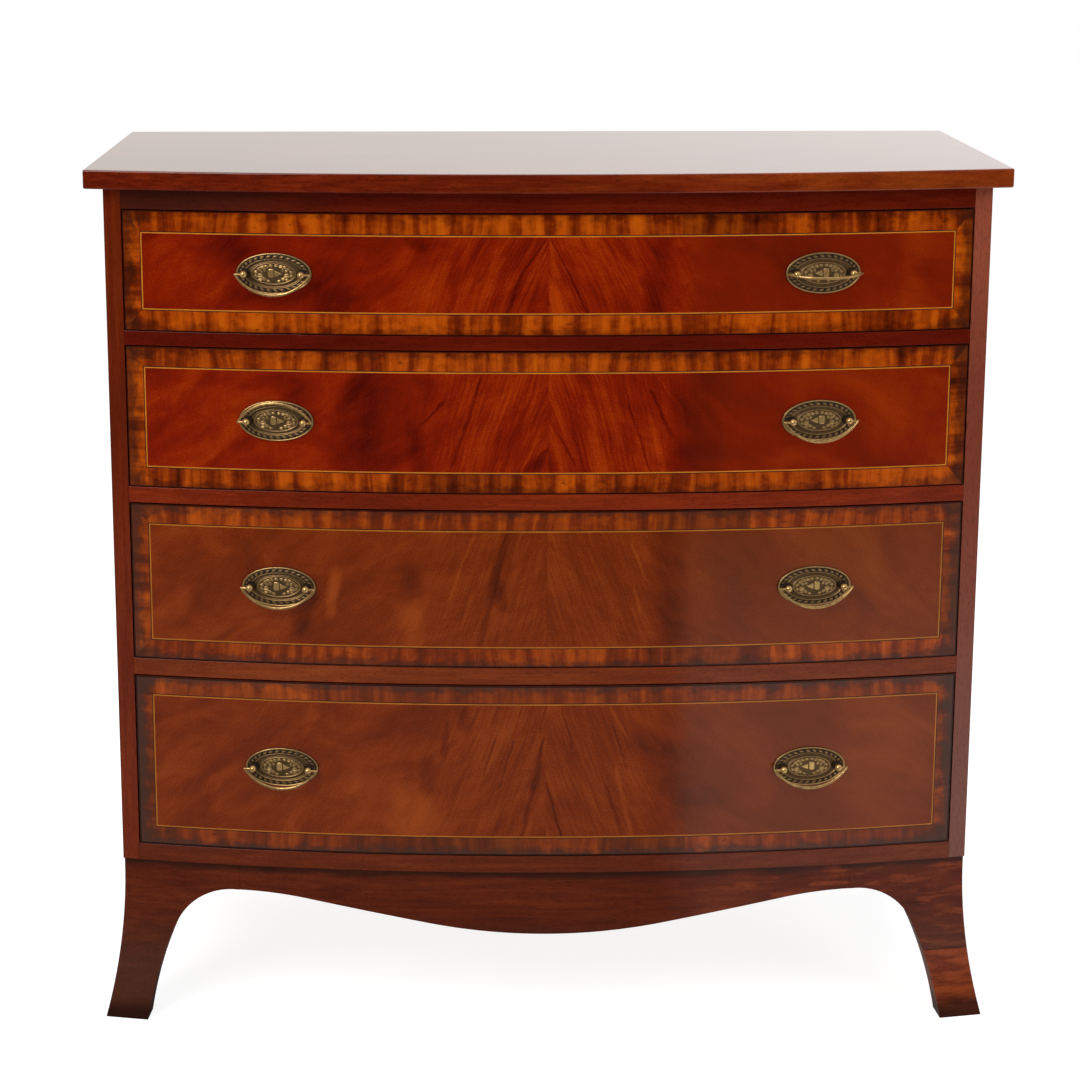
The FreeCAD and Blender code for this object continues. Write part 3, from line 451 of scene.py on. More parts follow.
# Flame of each drawer: lean, fan and bow of its lines, then its streaks and wedges.  Each runs
# from x and way down to x and way down, then come its half widths there, all in millimetres, and
# how much lighter it makes the shade.
FLAMES = {
    1: ((0.62, 0.0, 1.9), (
        (2, 3, 43, 84, 1.4, 2.4, -0.40), (5, 16, 36, 80, 0.8, 1.2, -0.25),
        (1, 6, 14, 88, 1.5, 19, 0.26), (42, -8, 74, 62, 14, 24, 0.20), (88, -6, 100, 44, 12, 10, 0.16),
        (124, -10, 114, 92, 16, 22, -0.24), (-3, 2, -30, 40, 2.0, 3.2, -0.30),
        (-30, 38, -46, 86, 3.0, 3.4, -0.28), (-2, 8, -34, 82, 1.2, 2.2, -0.25),
        (-12, 45, -22, 88, 4, 13, -0.18), (-60, 20, -76, 50, 1.6, 2.2, -0.26),
        (-98, 14, -106, 52, 8, 12, -0.20), (-150, -10, -140, 16, 34, 12, -0.36),
        (-240, 42, -225, 96, 36, 62, -0.36), (-345, -12, -338, 42, 44, 26, -0.26),
        (-415, 0, -405, 88, 24, 30, 0.04), (-310, 20, -310, 110, 90, 110, -0.24),
        (-160, 22, -140, 66, 34, 44, 0.14), (250, -20, 250, 112, 110, 112, -0.24),
        (398, -12, 402, 96, 24, 24, 0.26))),
    2: ((0.42, -4.0, 0.0), (
        (0, 82, -26, 120, 1.2, 29, -0.38), (-10, 72, -32, 114, 1.0, 2.2, 0.24),
        (2, 48, 18, 112, 2.0, 12, 0.16), (12, 68, 29, 102, 1.2, 1.8, -0.38),
        (-74, 4, -90, 58, 3.0, 4.0, -0.26), (-90, 56, -106, 104, 3.8, 3.0, -0.26),
        (-90, 3, -95, 28, 1.2, 1.6, -0.22), (80, 0, 92, 48, 1.4, 1.8, -0.24),
        (92, 46, 115, 116, 1.6, 2.2, -0.24), (98, 0, 130, 116, 4.0, 6.0, 0.18),
        (112, 18, 137, 72, 2.4, 4.4, -0.32), (120, 4, 148, 42, 2.2, 2.8, 0.18),
        (164, -12, 172, 124, 40, 38, -0.32), (-113, 30, -140, 58, 5.0, 1.6, -0.32),
        (-148, 58, -140, 118, 14, 22, -0.26), (-142, -8, -128, 32, 22, 12, -0.20),
        (58, 4, 66, 112, 28, 34, 0.14), (-195, -12, -205, 126, 42, 58, -0.26),
        (-370, -4, -380, 116, 52, 56, 0.08), (-275, -12, -270, 40, 56, 42, -0.20),
        (240, -12, 240, 124, 62, 72, -0.16), (365, 14, 385, 92, 60, 48, 0.28),
        (335, 96, 425, 126, 34, 64, -0.26))),
    3: ((0.25, 5.0, 0.0), (
        (-236, 44, -243, 100, 12, 9.0, 0.42), (-268, 62, -276, 124, 26, 18, -0.32),
        (-45, 0, -62, 72, 6.0, 9.0, -0.30), (-52, 56, -51, 90, 11, 10, -0.30),
        (-62, 72, -76, 134, 9.0, 7.0, -0.24), (-82, 4, -110, 80, 3.0, 4.0, 0.20),
        (-84, 72, -93, 104, 5.0, 4.0, 0.20), (93, 8, 109, 56, 3.0, 2.2, 0.22),
        (96, 58, 105, 94, 2.4, 2.2, 0.18), (4, 12, 28, 82, 1.4, 1.8, -0.16),
        (0, 44, 0, 140, 0.8, 0.9, -0.18), (138, -12, 142, 148, 34, 38, -0.30),
        (-152, 38, -150, 72, 22, 18, -0.28), (-156, 82, -146, 140, 24, 18, 0.20),
        (230, -12, 230, 150, 66, 66, -0.18), (390, -12, 390, 150, 70, 70, 0.16))),
    4: ((0.29, 4.0, 0.0), (
        (0, 0, -8, 32, 1.2, 1.8, -0.32), (17, 0, 30, 50, 1.4, 1.8, -0.30),
        (-3, 38, -14, 102, 2.0, 9.0, -0.36), (-14, 94, -29, 164, 6.0, 3.2, -0.26),
        (-57, 41, -72, 86, 1.8, 1.4, -0.34), (-37, 41, -53, 98, 1.6, 2.0, -0.30),
        (0, 92, 20, 164, 1.2, 2.2, -0.36), (79, 74, 98, 158, 4.0, 5.0, 0.24),
        (68, 94, 86, 156, 3.0, 3.4, -0.20), (75, 24, 91, 76, 2.2, 3.2, -0.26),
        (70, 0, 95, 44, 3.2, 4.0, 0.18), (-93, -4, -90, 32, 17, 11, -0.28),
        (-112, 20, -116, 62, 5.0, 7.0, -0.24), (-136, 60, -134, 108, 13, 15, -0.26),
        (-154, 98, -132, 170, 40, 54, 0.34), (-76, 4, -85, 24, 3.0, 2.2, -0.26),
        (150, -12, 152, 172, 54, 58, -0.22), (385, -12, 385, 172, 80, 80, 0.20)))}


def streak(f, x, down, x0, d0, x1, d1, w0, w1, shade):
    """One streak or wedge of a flame: its share is 0 at its sides and fades towards its ends."""
    def between(start, end):
        return f.node("MapRange", {"Value": down, "From Min": d0, "From Max": d1,
                                   "To Min": start, "To Max": end})
    body = (1.0 - abs(x - between(x0, x1)) / between(w0, w1)).step(0.0, 0.9)
    fade0, fade1 = 2 + w0 * 0.6, 2 + w1 * 0.6
    return body * down.step(d0 - fade0, d0 + fade0) * down.step(d1 + fade1, d1 - fade1) * shade


def flame_veneer(name, shades, flame, seed, height, strength):
    """Book-matched flame: lines that lean outwards from the seam, with clouded wood beyond them.

    With s the distance from the seam and d the way down from the field's top, a line keeps
    s - lean d (1 + fan s) + bow d^2.  The two leaves have patterns of their own, and past the
    flame the right one is greyed by a painted sheen of the polish.  Strength is how strongly the
    lines show near the seam.
    """
    (lean, fan, bow), streaks = flame
    f = new_finish(name)
    x, z, _ = f.parts(f.place("UV"))
    reach, down = abs(x), height / 2 - z
    leaf = x.step(-0.0001, 0.0001) * 5.0 + seed
    sway = f.noise(f.vector(reach * 9.0, z * 7.0, leaf), 1.0, 3.0, 0.5) - 0.5
    odd = f.noise(f.vector(x, z, seed + 4.0), 55.0, 4.0, 0.6) - 0.5
    line = reach - down * (reach * fan + 1.0) * lean + down * down * bow + sway * 0.016
    fine = f.noise(f.vector(line, z * 0.07, leaf), 300.0, 5.0, 0.65) - 0.5
    broad = f.noise(f.vector(line, z * 0.14, leaf + 3.0), 62.0, 3.0, 0.55) - 0.5
    inner = reach.step(0.17, 0.07)
    along, across = reach * 0.87 - z * 0.5, reach * 0.5 + z * 0.87
    cloud = f.noise(f.vector(along * 0.55, across, leaf + 6.0), 17.0, 3.0, 0.55, 0.8) - 0.5
    mottle = f.noise(f.vector(along * 0.45, across, leaf + 7.0), 70.0, 4.0, 0.6, 0.5) - 0.5
    tone = (fine * (inner * 0.75 * strength + 0.25) + broad * (inner * 0.9 * strength + 0.1)
            + cloud * (1.25 - inner * 0.7) + mottle * 0.4 + inner * 0.03 + 0.5)
    frayed = (x + odd * 0.007) * 1000.0
    deep = down * 1000.0
    for mark in streaks:
        tone = tone + streak(f, frayed, deep, *mark)
    dark, middle, light = shades
    speck = f.noise(f.vector(x, z, seed), 760.0, 2.0, 0.6)
    tone = tone + (speck - 0.5) * 0.65
    colour = f.ramp(tone.clipped(), (0.0, dark), (0.5, middle), (1.0, light))
    # past the flame the right leaf is greyed towards a paler tint: a painted sheen of the polish
    side = (x + odd * 0.02).step(0.13, 0.18) * 0.45
    colour = f.blend(side, colour, tinted(middle, (0.78, 1.35, 2.2)))
    pore = f.noise(f.vector(line * 1.2, z * 0.4, seed), 1200.0, 2.0, 0.5).step(0.56, 0.70)
    shade = ((0.62 - speck) * 1.4).clipped() * 0.5 + pore * 0.3 * inner
    colour = f.blend(shade, colour, tinted(dark, 0.4))
    f.surface(Base_Color=colour, Roughness=speck * 0.12 + 0.34, Coat_Weight=0.7,
              Coat_Roughness=0.09, Normal=f.bump(speck - pore * 0.6, 0.00006, 0.5), **POLISH)
    return f.owner


# crossbanding: the painted haze of the polish that greys the lower drawers' duller wood, a factor
# and two dark colours that darken the band, and the painted shadow along its edge
PAINTED_HAZE = (0.085, 0.036, 0.018)
DARKENED = ((0.42, 0.38, 0.40), (0.030, 0.012, 0.006), (0.060, 0.030, 0.020))
PAINTED_GAP_SHADOW = (0.008, 0.004, 0.003)


def crossband(name, golden, brown, black, seed, dull_and_hazed):
    """Crossbanding of short pieces: bars square to the band's edge, each piece its own shade.

    u runs along the band and v across it from its outer edge.  The colour is darkest along that
    edge and where the darkening value that the band holds is high, with a painted shadow at the
    very edge.  The lower drawers' dullness darkens and evens the whole and greys it with a painted
    haze of the polish.
    """
    f = new_finish(name)
    u, v, _ = f.parts(f.place("UV"))
    lean = f.noise(f.vector(u * 11.0, seed, 0.0), 1.0, 1.0) - 0.5
    run = u + v * lean * 0.8
    bars = f.noise(f.vector(run, v * 0.05, seed), 74.0, 2.0, 0.5)
    threads = f.noise(f.vector(run, v * 0.1, seed + 5.0), 420.0, 3.0, 0.6)
    slow = f.noise(f.vector(u, seed, 2.0), 7.0, 2.0)
    lengths = f.node("TexVoronoi", {"W": u + seed, "Scale": 11.0, "Randomness": 1.0}, output=1,
                     voronoi_dimensions="1D", feature="F1")
    shade, odd, _ = f.parts(lengths)
    knots = f.noise(f.vector(u, v * 1.6, seed + 8.0), 70.0, 2.0, 0.5).step(0.66, 0.76)
    cloud = f.noise(f.vector(u, v * 1.4, seed + 9.0), 60.0, 3.0, 0.6) - 0.5
    share = (((bars - 0.5) * 1.6 + (threads - 0.5) * 0.4 + (shade - 0.5) * 0.22 + cloud * 0.6
              + (slow - 0.5) * 0.35) * (1.0 - dull_and_hazed * 2.5) + 0.54 - dull_and_hazed)
    colour = f.ramp(share.clipped(), (0.0, black), (0.38, brown), (0.74, golden),
                    (1.0, tinted(golden, (1.15, 1.4, 1.5))))
    colour = f.blend((odd.step(0.93, 0.96) * 0.5).most(knots * 0.6), colour, black)
    dimming_factor, dark_tint, grey_tint = DARKENED
    # the lower drawers greyed by a painted haze of the polish's reflection
    colour = f.blend(dull_and_hazed * 2.4, colour, PAINTED_HAZE)
    # darker along the outer edge, and most at the corners and on the upright strips
    corner_dimming = f.held("worn")
    worn = (v + cloud * 0.024 + (bars - 0.5) * 0.006 - corner_dimming * 0.009).step(0.0120, -0.001)
    colour = f.blend(worn * 0.8, colour, dimming_factor, "MULTIPLY")
    colour = f.blend(worn * corner_dimming * 0.55, colour, dark_tint)
    colour = f.blend(worn * (dull_and_hazed * 5.0), colour, grey_tint)
    # painted shadow along the very edge, where the gap is, wider on the lower drawers
    edge = 0.0008 + dull_and_hazed * 0.008
    colour = f.blend(v.step(edge, edge * 0.5) * 0.9, colour, PAINTED_GAP_SHADOW)
    speck = f.noise(f.vector(u, v, seed), 800.0, 2.0, 0.6)
    colour = f.blend(((0.6 - speck) * 1.2).clipped() * 0.5, colour, black)
    f.surface(Base_Color=colour, Roughness=threads * 0.12 + 0.32, Coat_Weight=0.7,
              Coat_Roughness=0.09, Normal=f.bump(threads, 0.00005, 0.5), **POLISH)
    return f.owner


def plain_line(name, shade, second):
    """Stringing: one thin line of plain wood with faint fibres."""
    f = new_finish(name)
    u, v, _ = f.parts(f.place("UV"))
    fibre = f.noise(f.vector(u * 0.12, v * 3.0, 0.0), 400.0, 3.0, 0.6)
    slow = f.noise(f.vector(u, v, 4.0), 16.0, 2.0, 0.5)
    f.surface(Base_Color=f.blend((fibre * 0.5 + slow * 0.5).step(0.3, 0.7), shade, second),
              Roughness=fibre * 0.1 + 0.34, Coat_Weight=0.6, Coat_Roughness=0.1,
              Normal=f.bump(fibre, 0.00004, 0.4), **POLISH)
    return f.owner


def bare_wood(name, grain, shades, streaks=60.0, seed=0.0):
    """Unpolished wood inside the case: pale streaks, darker fibres and a dry, rough face."""
    f = new_finish(name)
    at = f.scaled(f.place(), (1.0, 1.0, 1.0), (seed, seed * 1.3, seed * 0.7))
    fine = f.grained(at, grain, 0.04, streaks, 6.0, 0.65, 0.2)
    slow = f.grained(at, grain, 0.25, 6.0, 3.0, 0.5, 0.5)
    fibre = f.grained(at, grain, 0.03, 900.0, 3.0, 0.6)
    share = (fine * 0.55 + slow * 0.3 + fibre * 0.15).step(0.34, 0.66)
    dark, light = shades
    f.surface(Base_Color=f.blend(share, dark, light), Roughness=fibre * 0.2 + 0.55,
              Normal=f.bump(fine + fibre * 0.6, 0.0002, 0.4))
    return f.owner


def antique_brass(name, relief=False):
    """Brass rubbed bright where its relief value is high, or rubbed nearly all over."""
    brass = bpy.context.scene.chest_brass
    f = new_finish(name)
    at = f.place()
    cloud = f.noise(at, 240.0, 4.0, 0.6)
    speck = f.noise(at, 1900.0, 3.0, 0.6)
    if relief:
        wear = f.held("relief")
        share = (wear + (cloud - 0.5) * 0.3 + (speck - 0.5) * 0.2).clipped()
    else:
        share = ((cloud - 0.5) * 0.9 + (speck - 0.5) * 0.35 + 0.82).clipped()
    colour = f.ramp(share, (0.0, brass.dark), (0.34, tinted(brass.dull, 0.45)),
                    (0.6, brass.dull), (0.95, brass.bright))
    f.surface(Base_Color=colour, Metallic=share.step(0.05, 0.5) * 0.25 + 0.55,
              Roughness=(1.0 - share) * 0.26 + 0.24 + (speck - 0.5) * 0.1,
              Normal=f.bump(speck + cloud, 0.00008, 0.35))
    return f.owner


# ---------------------------------------------------------------- what a user can change
COLOUR = {"subtype": "COLOR", "min": 0.0, "max": 1.0}


class ChestWoods(bpy.types.PropertyGroup):
    """Shades of the woods."""
    case_dark: FloatVectorProperty(
        name="Case, dark", description="Darkest grain of rails, sides and feet",
        default=(0.040, 0.0045, 0.0012), **COLOUR)
    case_middle: FloatVectorProperty(
        name="Case", description="Body shade of rails, sides and feet",
        default=(0.112, 0.0145, 0.0028), **COLOUR)
    case_light: FloatVectorProperty(
        name="Case, light", description="Lightest grain of rails, sides and feet",
        default=(0.215, 0.036, 0.0065), **COLOUR)
    flame_dark: FloatVectorProperty(
        name="Red flame, dark", description="Dark lines of the upper two fronts",
        default=(0.070, 0.0026, 0.0005), **COLOUR)
    flame_middle: FloatVectorProperty(
        name="Red flame", description="Body shade of the upper two fronts",
        default=(0.205, 0.0095, 0.0005), **COLOUR)
    flame_light: FloatVectorProperty(
        name="Red flame, light", description="Light lines of the upper two fronts",
        default=(0.38, 0.038, 0.0010), **COLOUR)
    brown_dark: FloatVectorProperty(
        name="Brown flame, dark", description="Dark lines of the lower two fronts",
        default=(0.060, 0.0085, 0.0020), **COLOUR)
    brown_middle: FloatVectorProperty(
        name="Brown flame", description="Body shade of the lower two fronts",
        default=(0.168, 0.0215, 0.0026), **COLOUR)
    brown_light: FloatVectorProperty(
        name="Brown flame, light", description="Light lines of the lower two fronts",
        default=(0.29, 0.052, 0.0060), **COLOUR)
    band_golden: FloatVectorProperty(
        name="Crossband, golden", description="Light bars of the crossbanding",
        default=(0.43, 0.068, 0.0016), **COLOUR)
    band_brown: FloatVectorProperty(
        name="Crossband, brown", description="Middle bars of the crossbanding",
        default=(0.190, 0.0200, 0.0007), **COLOUR)
    band_black: FloatVectorProperty(
        name="Crossband, dark", description="Dark bars of the crossbanding",
        default=(0.045, 0.0045, 0.0005), **COLOUR)
    boxwood: FloatVectorProperty(
        name="Boxwood", description="Light line beside the crossbanding",
        default=(0.62, 0.205, 0.022), **COLOUR)
    lining: FloatVectorProperty(
        name="Linings", description="Sides and backs of the drawers",
        default=(0.53, 0.33, 0.165), **COLOUR)


class ChestInlay(bpy.types.PropertyGroup):
    """Sizes of the veneers and lines."""
    proud: FloatProperty(
        name="Veneer", description="Veneers and lines above the face of a drawer front",
        unit="LENGTH", min=0.0001, max=0.0006, default=0.00025)
    edge_gap: FloatProperty(
        name="Edge", description="Veneers short of the drawer front's edge",
        unit="LENGTH", min=0.0001, max=0.001, default=0.0002)
    dark_line: FloatProperty(
        name="Dark line", description="Width of the dark line beside the crossband",
        unit="LENGTH", min=0.0003, max=0.002, default=0.0010)
    boxwood_line: FloatProperty(
        name="Boxwood line", description="Width of the light line",
        unit="LENGTH", min=0.0005, max=0.003, default=0.0013)
    arris: FloatProperty(
        name="Arris", description="Eased edges of rails, sides and base",
        unit="LENGTH", min=0.0001, max=0.001, default=0.0005)


class ChestBrass(bpy.types.PropertyGroup):
    """Shades and relief of the brasses."""
    bright: FloatVectorProperty(
        name="Bright", description="Rubbed brass",
        default=(0.76, 0.475, 0.175), **COLOUR)
    dull: FloatVectorProperty(
        name="Dull", description="Brass between high points and recesses",
        default=(0.29, 0.165, 0.066), **COLOUR)
    dark: FloatVectorProperty(
        name="Dark", description="Tarnish in the recesses",
        default=(0.016, 0.008, 0.006), **COLOUR)
    relief: FloatProperty(
        name="Relief", description="Depth of the leaves on the backplates",
        unit="LENGTH", min=0.0, max=0.001, default=0.0006)


# ---------------------------------------------------------------- case
def woods():
    return bpy.context.scene.chest_woods


def shades(*names, lift=1.0):
    return [tinted(getattr(woods(), name), lift) for name in names]


def case_shades(lift=1.0, brown=1.0):
    """Dark, middle and light of the solid wood: redder below brown 1, browner above it."""
    return [tinted(shade, (1.0, brown, brown))
            for shade in shades("case_dark", "case_middle", "case_light", lift=lift)]


def warm_right(f, at, colour):
    """Streaks of lighter, warmer wood towards the right end, where the polish is thinner."""
    x, _, _ = f.parts(f.place())
    cloud = f.noise(f.scaled(at, (0.12, 1.0, 1.0)), 90.0, 4.0, 0.6)
    share = (x * 0.9 + (cloud - 0.5) * 1.3).step(-0.15, 0.75)
    return f.blend(share * 0.7, colour, (0.31, 0.055, 0.006))


class CHEST_OT_top(bpy.types.Operator):
    """Top board with a bowed front and eased edges"""
    bl_idname = "chest.top"
    bl_label = "Top"

    def execute(self, context):
        x, t = grid(span(TOP_LOW[0], TOP_HIGH[0], 97), span(0, 1, 9))
        front = on_bow(x, TOP_RADIUS)
        faces = [spots(x, front + t * (BACK - front), z) for z in (TOP_HIGH[2], TOP_LOW[2])]
        finish = polished_wood("polished_mahogany_top", "x", case_shades(1.0, 0.65), seed=2.0,
                               streaks=260.0, contrast=2.6, coat=1.0, haze=0.07,
                               change=warm_right)
        piece("bowed_top", slab(*faces), finish, "case", ["top"],
              TOP_ARRIS, segments=4)
        return {"FINISHED"}


def painted_sheen_front(f, at, colour):
    """Painted sheen of reflected light on the side's front edge, strongest at its head."""
    x, _, z = f.parts(f.place())
    front = x.step(CASE_HALF - 0.0002, CASE_HALF - 0.0007)
    cloud = f.noise(at, 14.0, 3.0) * 0.3
    foot, middle, head = (0.175, 0.066, 0.046), (0.195, 0.044, 0.024), (0.29, 0.072, 0.038)
    pale = f.blend(z.step(0.25, 0.60), foot, middle)
    pale = f.blend(z.step(0.72, 0.92), pale, head)
    return f.blend((front * (cloud + 0.66)).clipped(), colour, pale)


class CHEST_OT_sides(bpy.types.Operator):
    """Case sides, whose front edges are cut to the bow and show as stiles"""
    bl_idname = "chest.sides"
    bl_label = "Sides"

    def execute(self, context):
        left = polished_wood("mahogany_left_side", "z", case_shades(1.05, 0.85), seed=5.0)
        # the right side's front edge takes a painted sheen of reflected light
        right = polished_wood("mahogany_right_side", "z", case_shades(1.05), seed=6.0,
                              change=painted_sheen_front)
        x = span(OPENING_HALF, CASE_HALF, 7)
        front = np.column_stack([x, on_bow(x, BOW_RADIUS)])
        rebate = [(CASE_HALF, BACK), (PANEL_HIGH[0], BACK), (PANEL_HIGH[0], PANEL_LOW[1]),
                  (OPENING_HALF, PANEL_LOW[1])]
        outline = np.concatenate([front, np.array(rebate)])
        for (side, way), finish in zip(SIDES, (left, right)):
            shell = prism(outline * (way, 1), SIDE_LOW[2], SIDE_HIGH[2])
            case_piece(f"{side}_case_side", shell, finish, f"{side}_side")
        return {"FINISHED"}


def dim_left(f, at, colour):
    """Darker towards the left end."""
    x, _, _ = f.parts(f.place())
    share = x + (f.noise(at, 9.0, 3.0) - 0.5) * 0.3
    return f.blend(share.step(-0.12, -0.42) * 0.6, colour, (0.030, 0.012, 0.007))


class CHEST_OT_rails(bpy.types.Operator):
    """Bowed rails above, between and below the drawers"""
    bl_idname = "chest.rails"
    bl_label = "Rails"

    def execute(self, context):
        # top rail darker, partly a painted shadow under the top; lower rails lighter and browner
        for name, lift, brown in (("top_rail", 0.88, 0.5), ("divider_1", 0.9, 0.45),
                                  ("divider_2", 1.4, 0.75), ("divider_3", 1.35, 1.2),
                                  ("bottom_rail", 1.0, 1.1)):
            low, high = box_of(name)
            finish = polished_wood(f"mahogany_{name}", "x", case_shades(lift, brown),
                                   seed=9.0 * lift, change=dim_left if name == "top_rail" else None)
            x, z = grid(span(low[0], high[0], 97), span(low[2], high[2], 3))
            shell = slab(spots(x, on_bow(x, BOW_RADIUS), z), spots(x, high[1], z))
            case_piece(f"bowed_{name}", shell, finish, name)
        return {"FINISHED"}


class CHEST_OT_carcase(bpy.types.Operator):
    """Finishes of the back, bottom, runners, kickers, stops and glue blocks"""
    bl_idname = "chest.carcase"
    bl_label = "Carcase"

    def execute(self, context):
        pale = [(0.30, 0.18, 0.09), (0.58, 0.41, 0.24)]
        softwood = bare_wood("carcase_softwood", "y", pale)
        crossed = bare_wood("stop_softwood", "x", pale, seed=3.0)
        ply = bare_wood("back_plywood", "z", [(0.28, 0.135, 0.055), (0.52, 0.31, 0.145)], 40.0, 1.0)
        for node in ("bottom_board", "runners_1", "runners_2", "runners_3", "runners_4", "kickers"):
            finish_node(node, softwood)
        for node in ("drawer_stops", "glue_blocks"):
            finish_node(node, crossed)
        finish_node("back_panel", ply)
        return {"FINISHED"}


# ---------------------------------------------------------------- base
def splay(z, depth=0.0):
    """How far a foot's face stands out at height z.

    The outer face and the inner one, depth behind it, are arcs about one centre outside them.
    """
    drop = np.clip(SPLAY_HEIGHT - z, 0.0, None)
    return SPLAY_RADIUS - np.sqrt((SPLAY_RADIUS + depth) ** 2 - drop ** 2)


def wing_columns():
    """Columns of a foot's wing from its corner to the apron.

    Each has its share of the way from the corner line, its reach and height on the lower edge,
    which runs flat, up a long curve to the knee and up a short one to the arch, and its reach
    under the case.
    """
    leg = arc((TOE_REACH, 0.0), KNEE, LEG_RADIUS, 13)
    arch = arc(KNEE, (FOOT_REACH, ARCH_TOP), ARCH_RADIUS, 15)[1:]
    edge = np.concatenate([leg, arch])
    toe = span(0, 1, 6)[:-1]
    share = np.concatenate([toe, np.ones(len(edge))])
    reach = np.concatenate([np.full(len(toe), TOE_REACH), edge[:, 0]])
    height = np.concatenate([np.zeros(len(toe)), edge[:, 1]])
    head = np.concatenate([np.full(len(toe), HEAD_REACH), span(HEAD_REACH, FOOT_REACH, len(edge))])
    return share, reach, height, head


def wing_grid(corner, rows=13):
    """Reach and height of a wing's points, where corner(z) is the reach of its corner line."""
    share, reach, height, head = (column[:, None] for column in wing_columns())
    z = height + span(0, 1, rows)[None] * (BASE_TOP - height)
    line = reach + (z - height) / (BASE_TOP - height) * (head - reach)
    return (1 - share) * corner(z) + share * line, z


def mitre(z, depth):
    """Where the bowed and the straight face of a foot, both depth behind its outer ones, meet."""
    x = BASE_HALF + splay(z, depth)
    return x, on_bow(x, BASE_RADIUS + splay(z, depth))


def bowed_wing(depth):
    """Bowed wing of the right front foot.

    Its cut edge is turned by t from straight back, so a point's reach is measured at t to the
    front.  With h and d the base's half width and its corner's distance before the bow axis, a
    face of radius r has reach p at the angle t - asin((p + d sin t - h cos t) / r) off the middle.
    """
    sine, cosine = math.sin(CUT_TURN), math.cos(CUT_TURN)

    def corner(z):
        x, y = mitre(z, depth)
        return (BASE_HALF - x) * cosine + (BASE_CORNER - y) * sine
    reach, z = wing_grid(corner)
    radius = BASE_RADIUS + splay(z, depth)
    offset = (BOW_AXIS - BASE_CORNER) * sine - BASE_HALF * cosine
    angle = CUT_TURN - np.arcsin((reach + offset) / radius)
    joint = np.arcsin(FOOT_JOINT / radius[-1:])
    angle = np.concatenate([angle, joint])
    radius, z = (np.concatenate([value, value[-1:]]) for value in (radius, z))
    return spots(radius * np.sin(angle), BOW_AXIS - radius * np.cos(angle), z)


def side_wing(depth):
    """Straight wing of the right front foot, along the side of the chest."""
    reach, z = wing_grid(lambda z: mitre(z, depth)[1] - BASE_CORNER)
    return spots(BASE_HALF + splay(z, depth), BASE_CORNER + reach, z)


def front_foot():
    """Both wings as one board that turns the corner at the mitre."""
    faces = [np.concatenate([bowed_wing(depth)[::-1], side_wing(depth)[1:]])
             for depth in (0.0, BASE_STOCK)]
    return slab(*faces)


def back_foot():
    """Splayed side wing, flush at the back, and a plain bracket that fits against it."""
    wings = []
    for depth in (0.0, BASE_STOCK):
        reach, z = wing_grid(np.zeros_like)
        wings.append(spots(BASE_HALF + splay(z, depth), BACK - reach, z))
    reach, z = wing_grid(lambda z: -splay(z, BASE_STOCK))
    bracket = [spots(BASE_HALF - reach, y, z) for y in (BACK, BACK - BRACKET_STOCK)]
    return slab(*wings) + slab(*bracket)


def handed(shell, way):
    """The shell itself for the right side, way 1, and its mirror image for the left, way -1."""
    return shell.moved(lambda points: points * (way, 1, 1))


def apron_edge(x):
    """Lower edge of the front apron: a hanging arc, a straight run and a rising arc each side.

    The run's slope is twice the angle of a line that climbs APRON_SLOPE x rise over half the apron.
    """
    rise, steep = ARCH_TOP - APRON_FLOOR, APRON_SLOPE
    radii = ((2 * steep - 1) * FOOT_JOINT ** 2 + (steep * rise) ** 2) / (2 * steep ** 2 * rise)
    low, slope = radii * HANGING_SHARE, 2 * math.atan(steep * rise / FOOT_JOINT)
    high = radii - low
    x = np.abs(x)
    near, far = low * math.sin(slope), FOOT_JOINT - high * math.sin(slope)
    hanging = APRON_FLOOR + low - np.sqrt(low ** 2 - np.minimum(x, near) ** 2)
    rising = ARCH_TOP - high + np.sqrt(high ** 2 - (FOOT_JOINT - np.maximum(x, far)) ** 2)
    straight = APRON_FLOOR + low * (1 - math.cos(slope)) + (x - near) * math.tan(slope)
    return np.where(x < near, hanging, np.where(x > far, rising, straight))


def leaning_streaks(f, at):
    """Soft streaks, long and thin, that fall to the right."""
    return f.noise(f.node("Mapping", {"Vector": at, "Scale": (8.0, 8.0, 42.0),
                                      "Rotation": (0.0, 0.38, 0.0)}), 2.4, 3.0, 0.55)


def base_wood(f, at, colour):
    """Painted shadow under the case, darker at the toes, browner legs and light streaks at right."""
    x, _, z = f.parts(f.place())
    edge = f.noise(at, 14.0, 3.0) * 0.012
    light = leaning_streaks(f, at).step(0.50, 0.68) * x.step(0.10, 0.30)
    browner, dark_tint = (0.066, 0.026, 0.015), (0.014, 0.004, 0.002)
    colour = f.blend(light * 0.6, colour, case_shades(1.25)[2])
    colour = f.blend(z.step(0.150, 0.040) * 0.7, colour, browner)
    # painted shadow along the head, under the case's bottom rail
    head = (z + edge).step(BASE_TOP - 0.006, BASE_TOP + 0.004) * 0.75
    toe = (z - edge).step(0.022, 0.0) * 0.8
    return f.blend(head.most(toe), colour, dark_tint)


def pieced_toe(f, at, colour):
    """A brighter piece joined on below a level joint, dark at the joint and the floor."""
    colour = base_wood(f, at, colour)
    joint, line, dark_tint = 0.079, (0.02, 0.006, 0.004), (0.016, 0.005, 0.003)
    _, _, z = f.parts(f.place())
    _, middle, light = case_shades(1.3)
    bright = f.ramp(leaning_streaks(f, at).step(0.38, 0.62), (0.0, middle), (1.0, light))
    colour = f.blend(z.step(joint + 0.0005, joint - 0.0005) * 0.8, colour, bright)
    colour = f.blend(abs(z - joint).step(0.0011, 0.0003) * 0.7, colour, line)
    edge = f.noise(at, 60.0, 3.0) * 0.012
    return f.blend((z - edge).step(0.026, 0.004) * 0.8, colour, dark_tint)


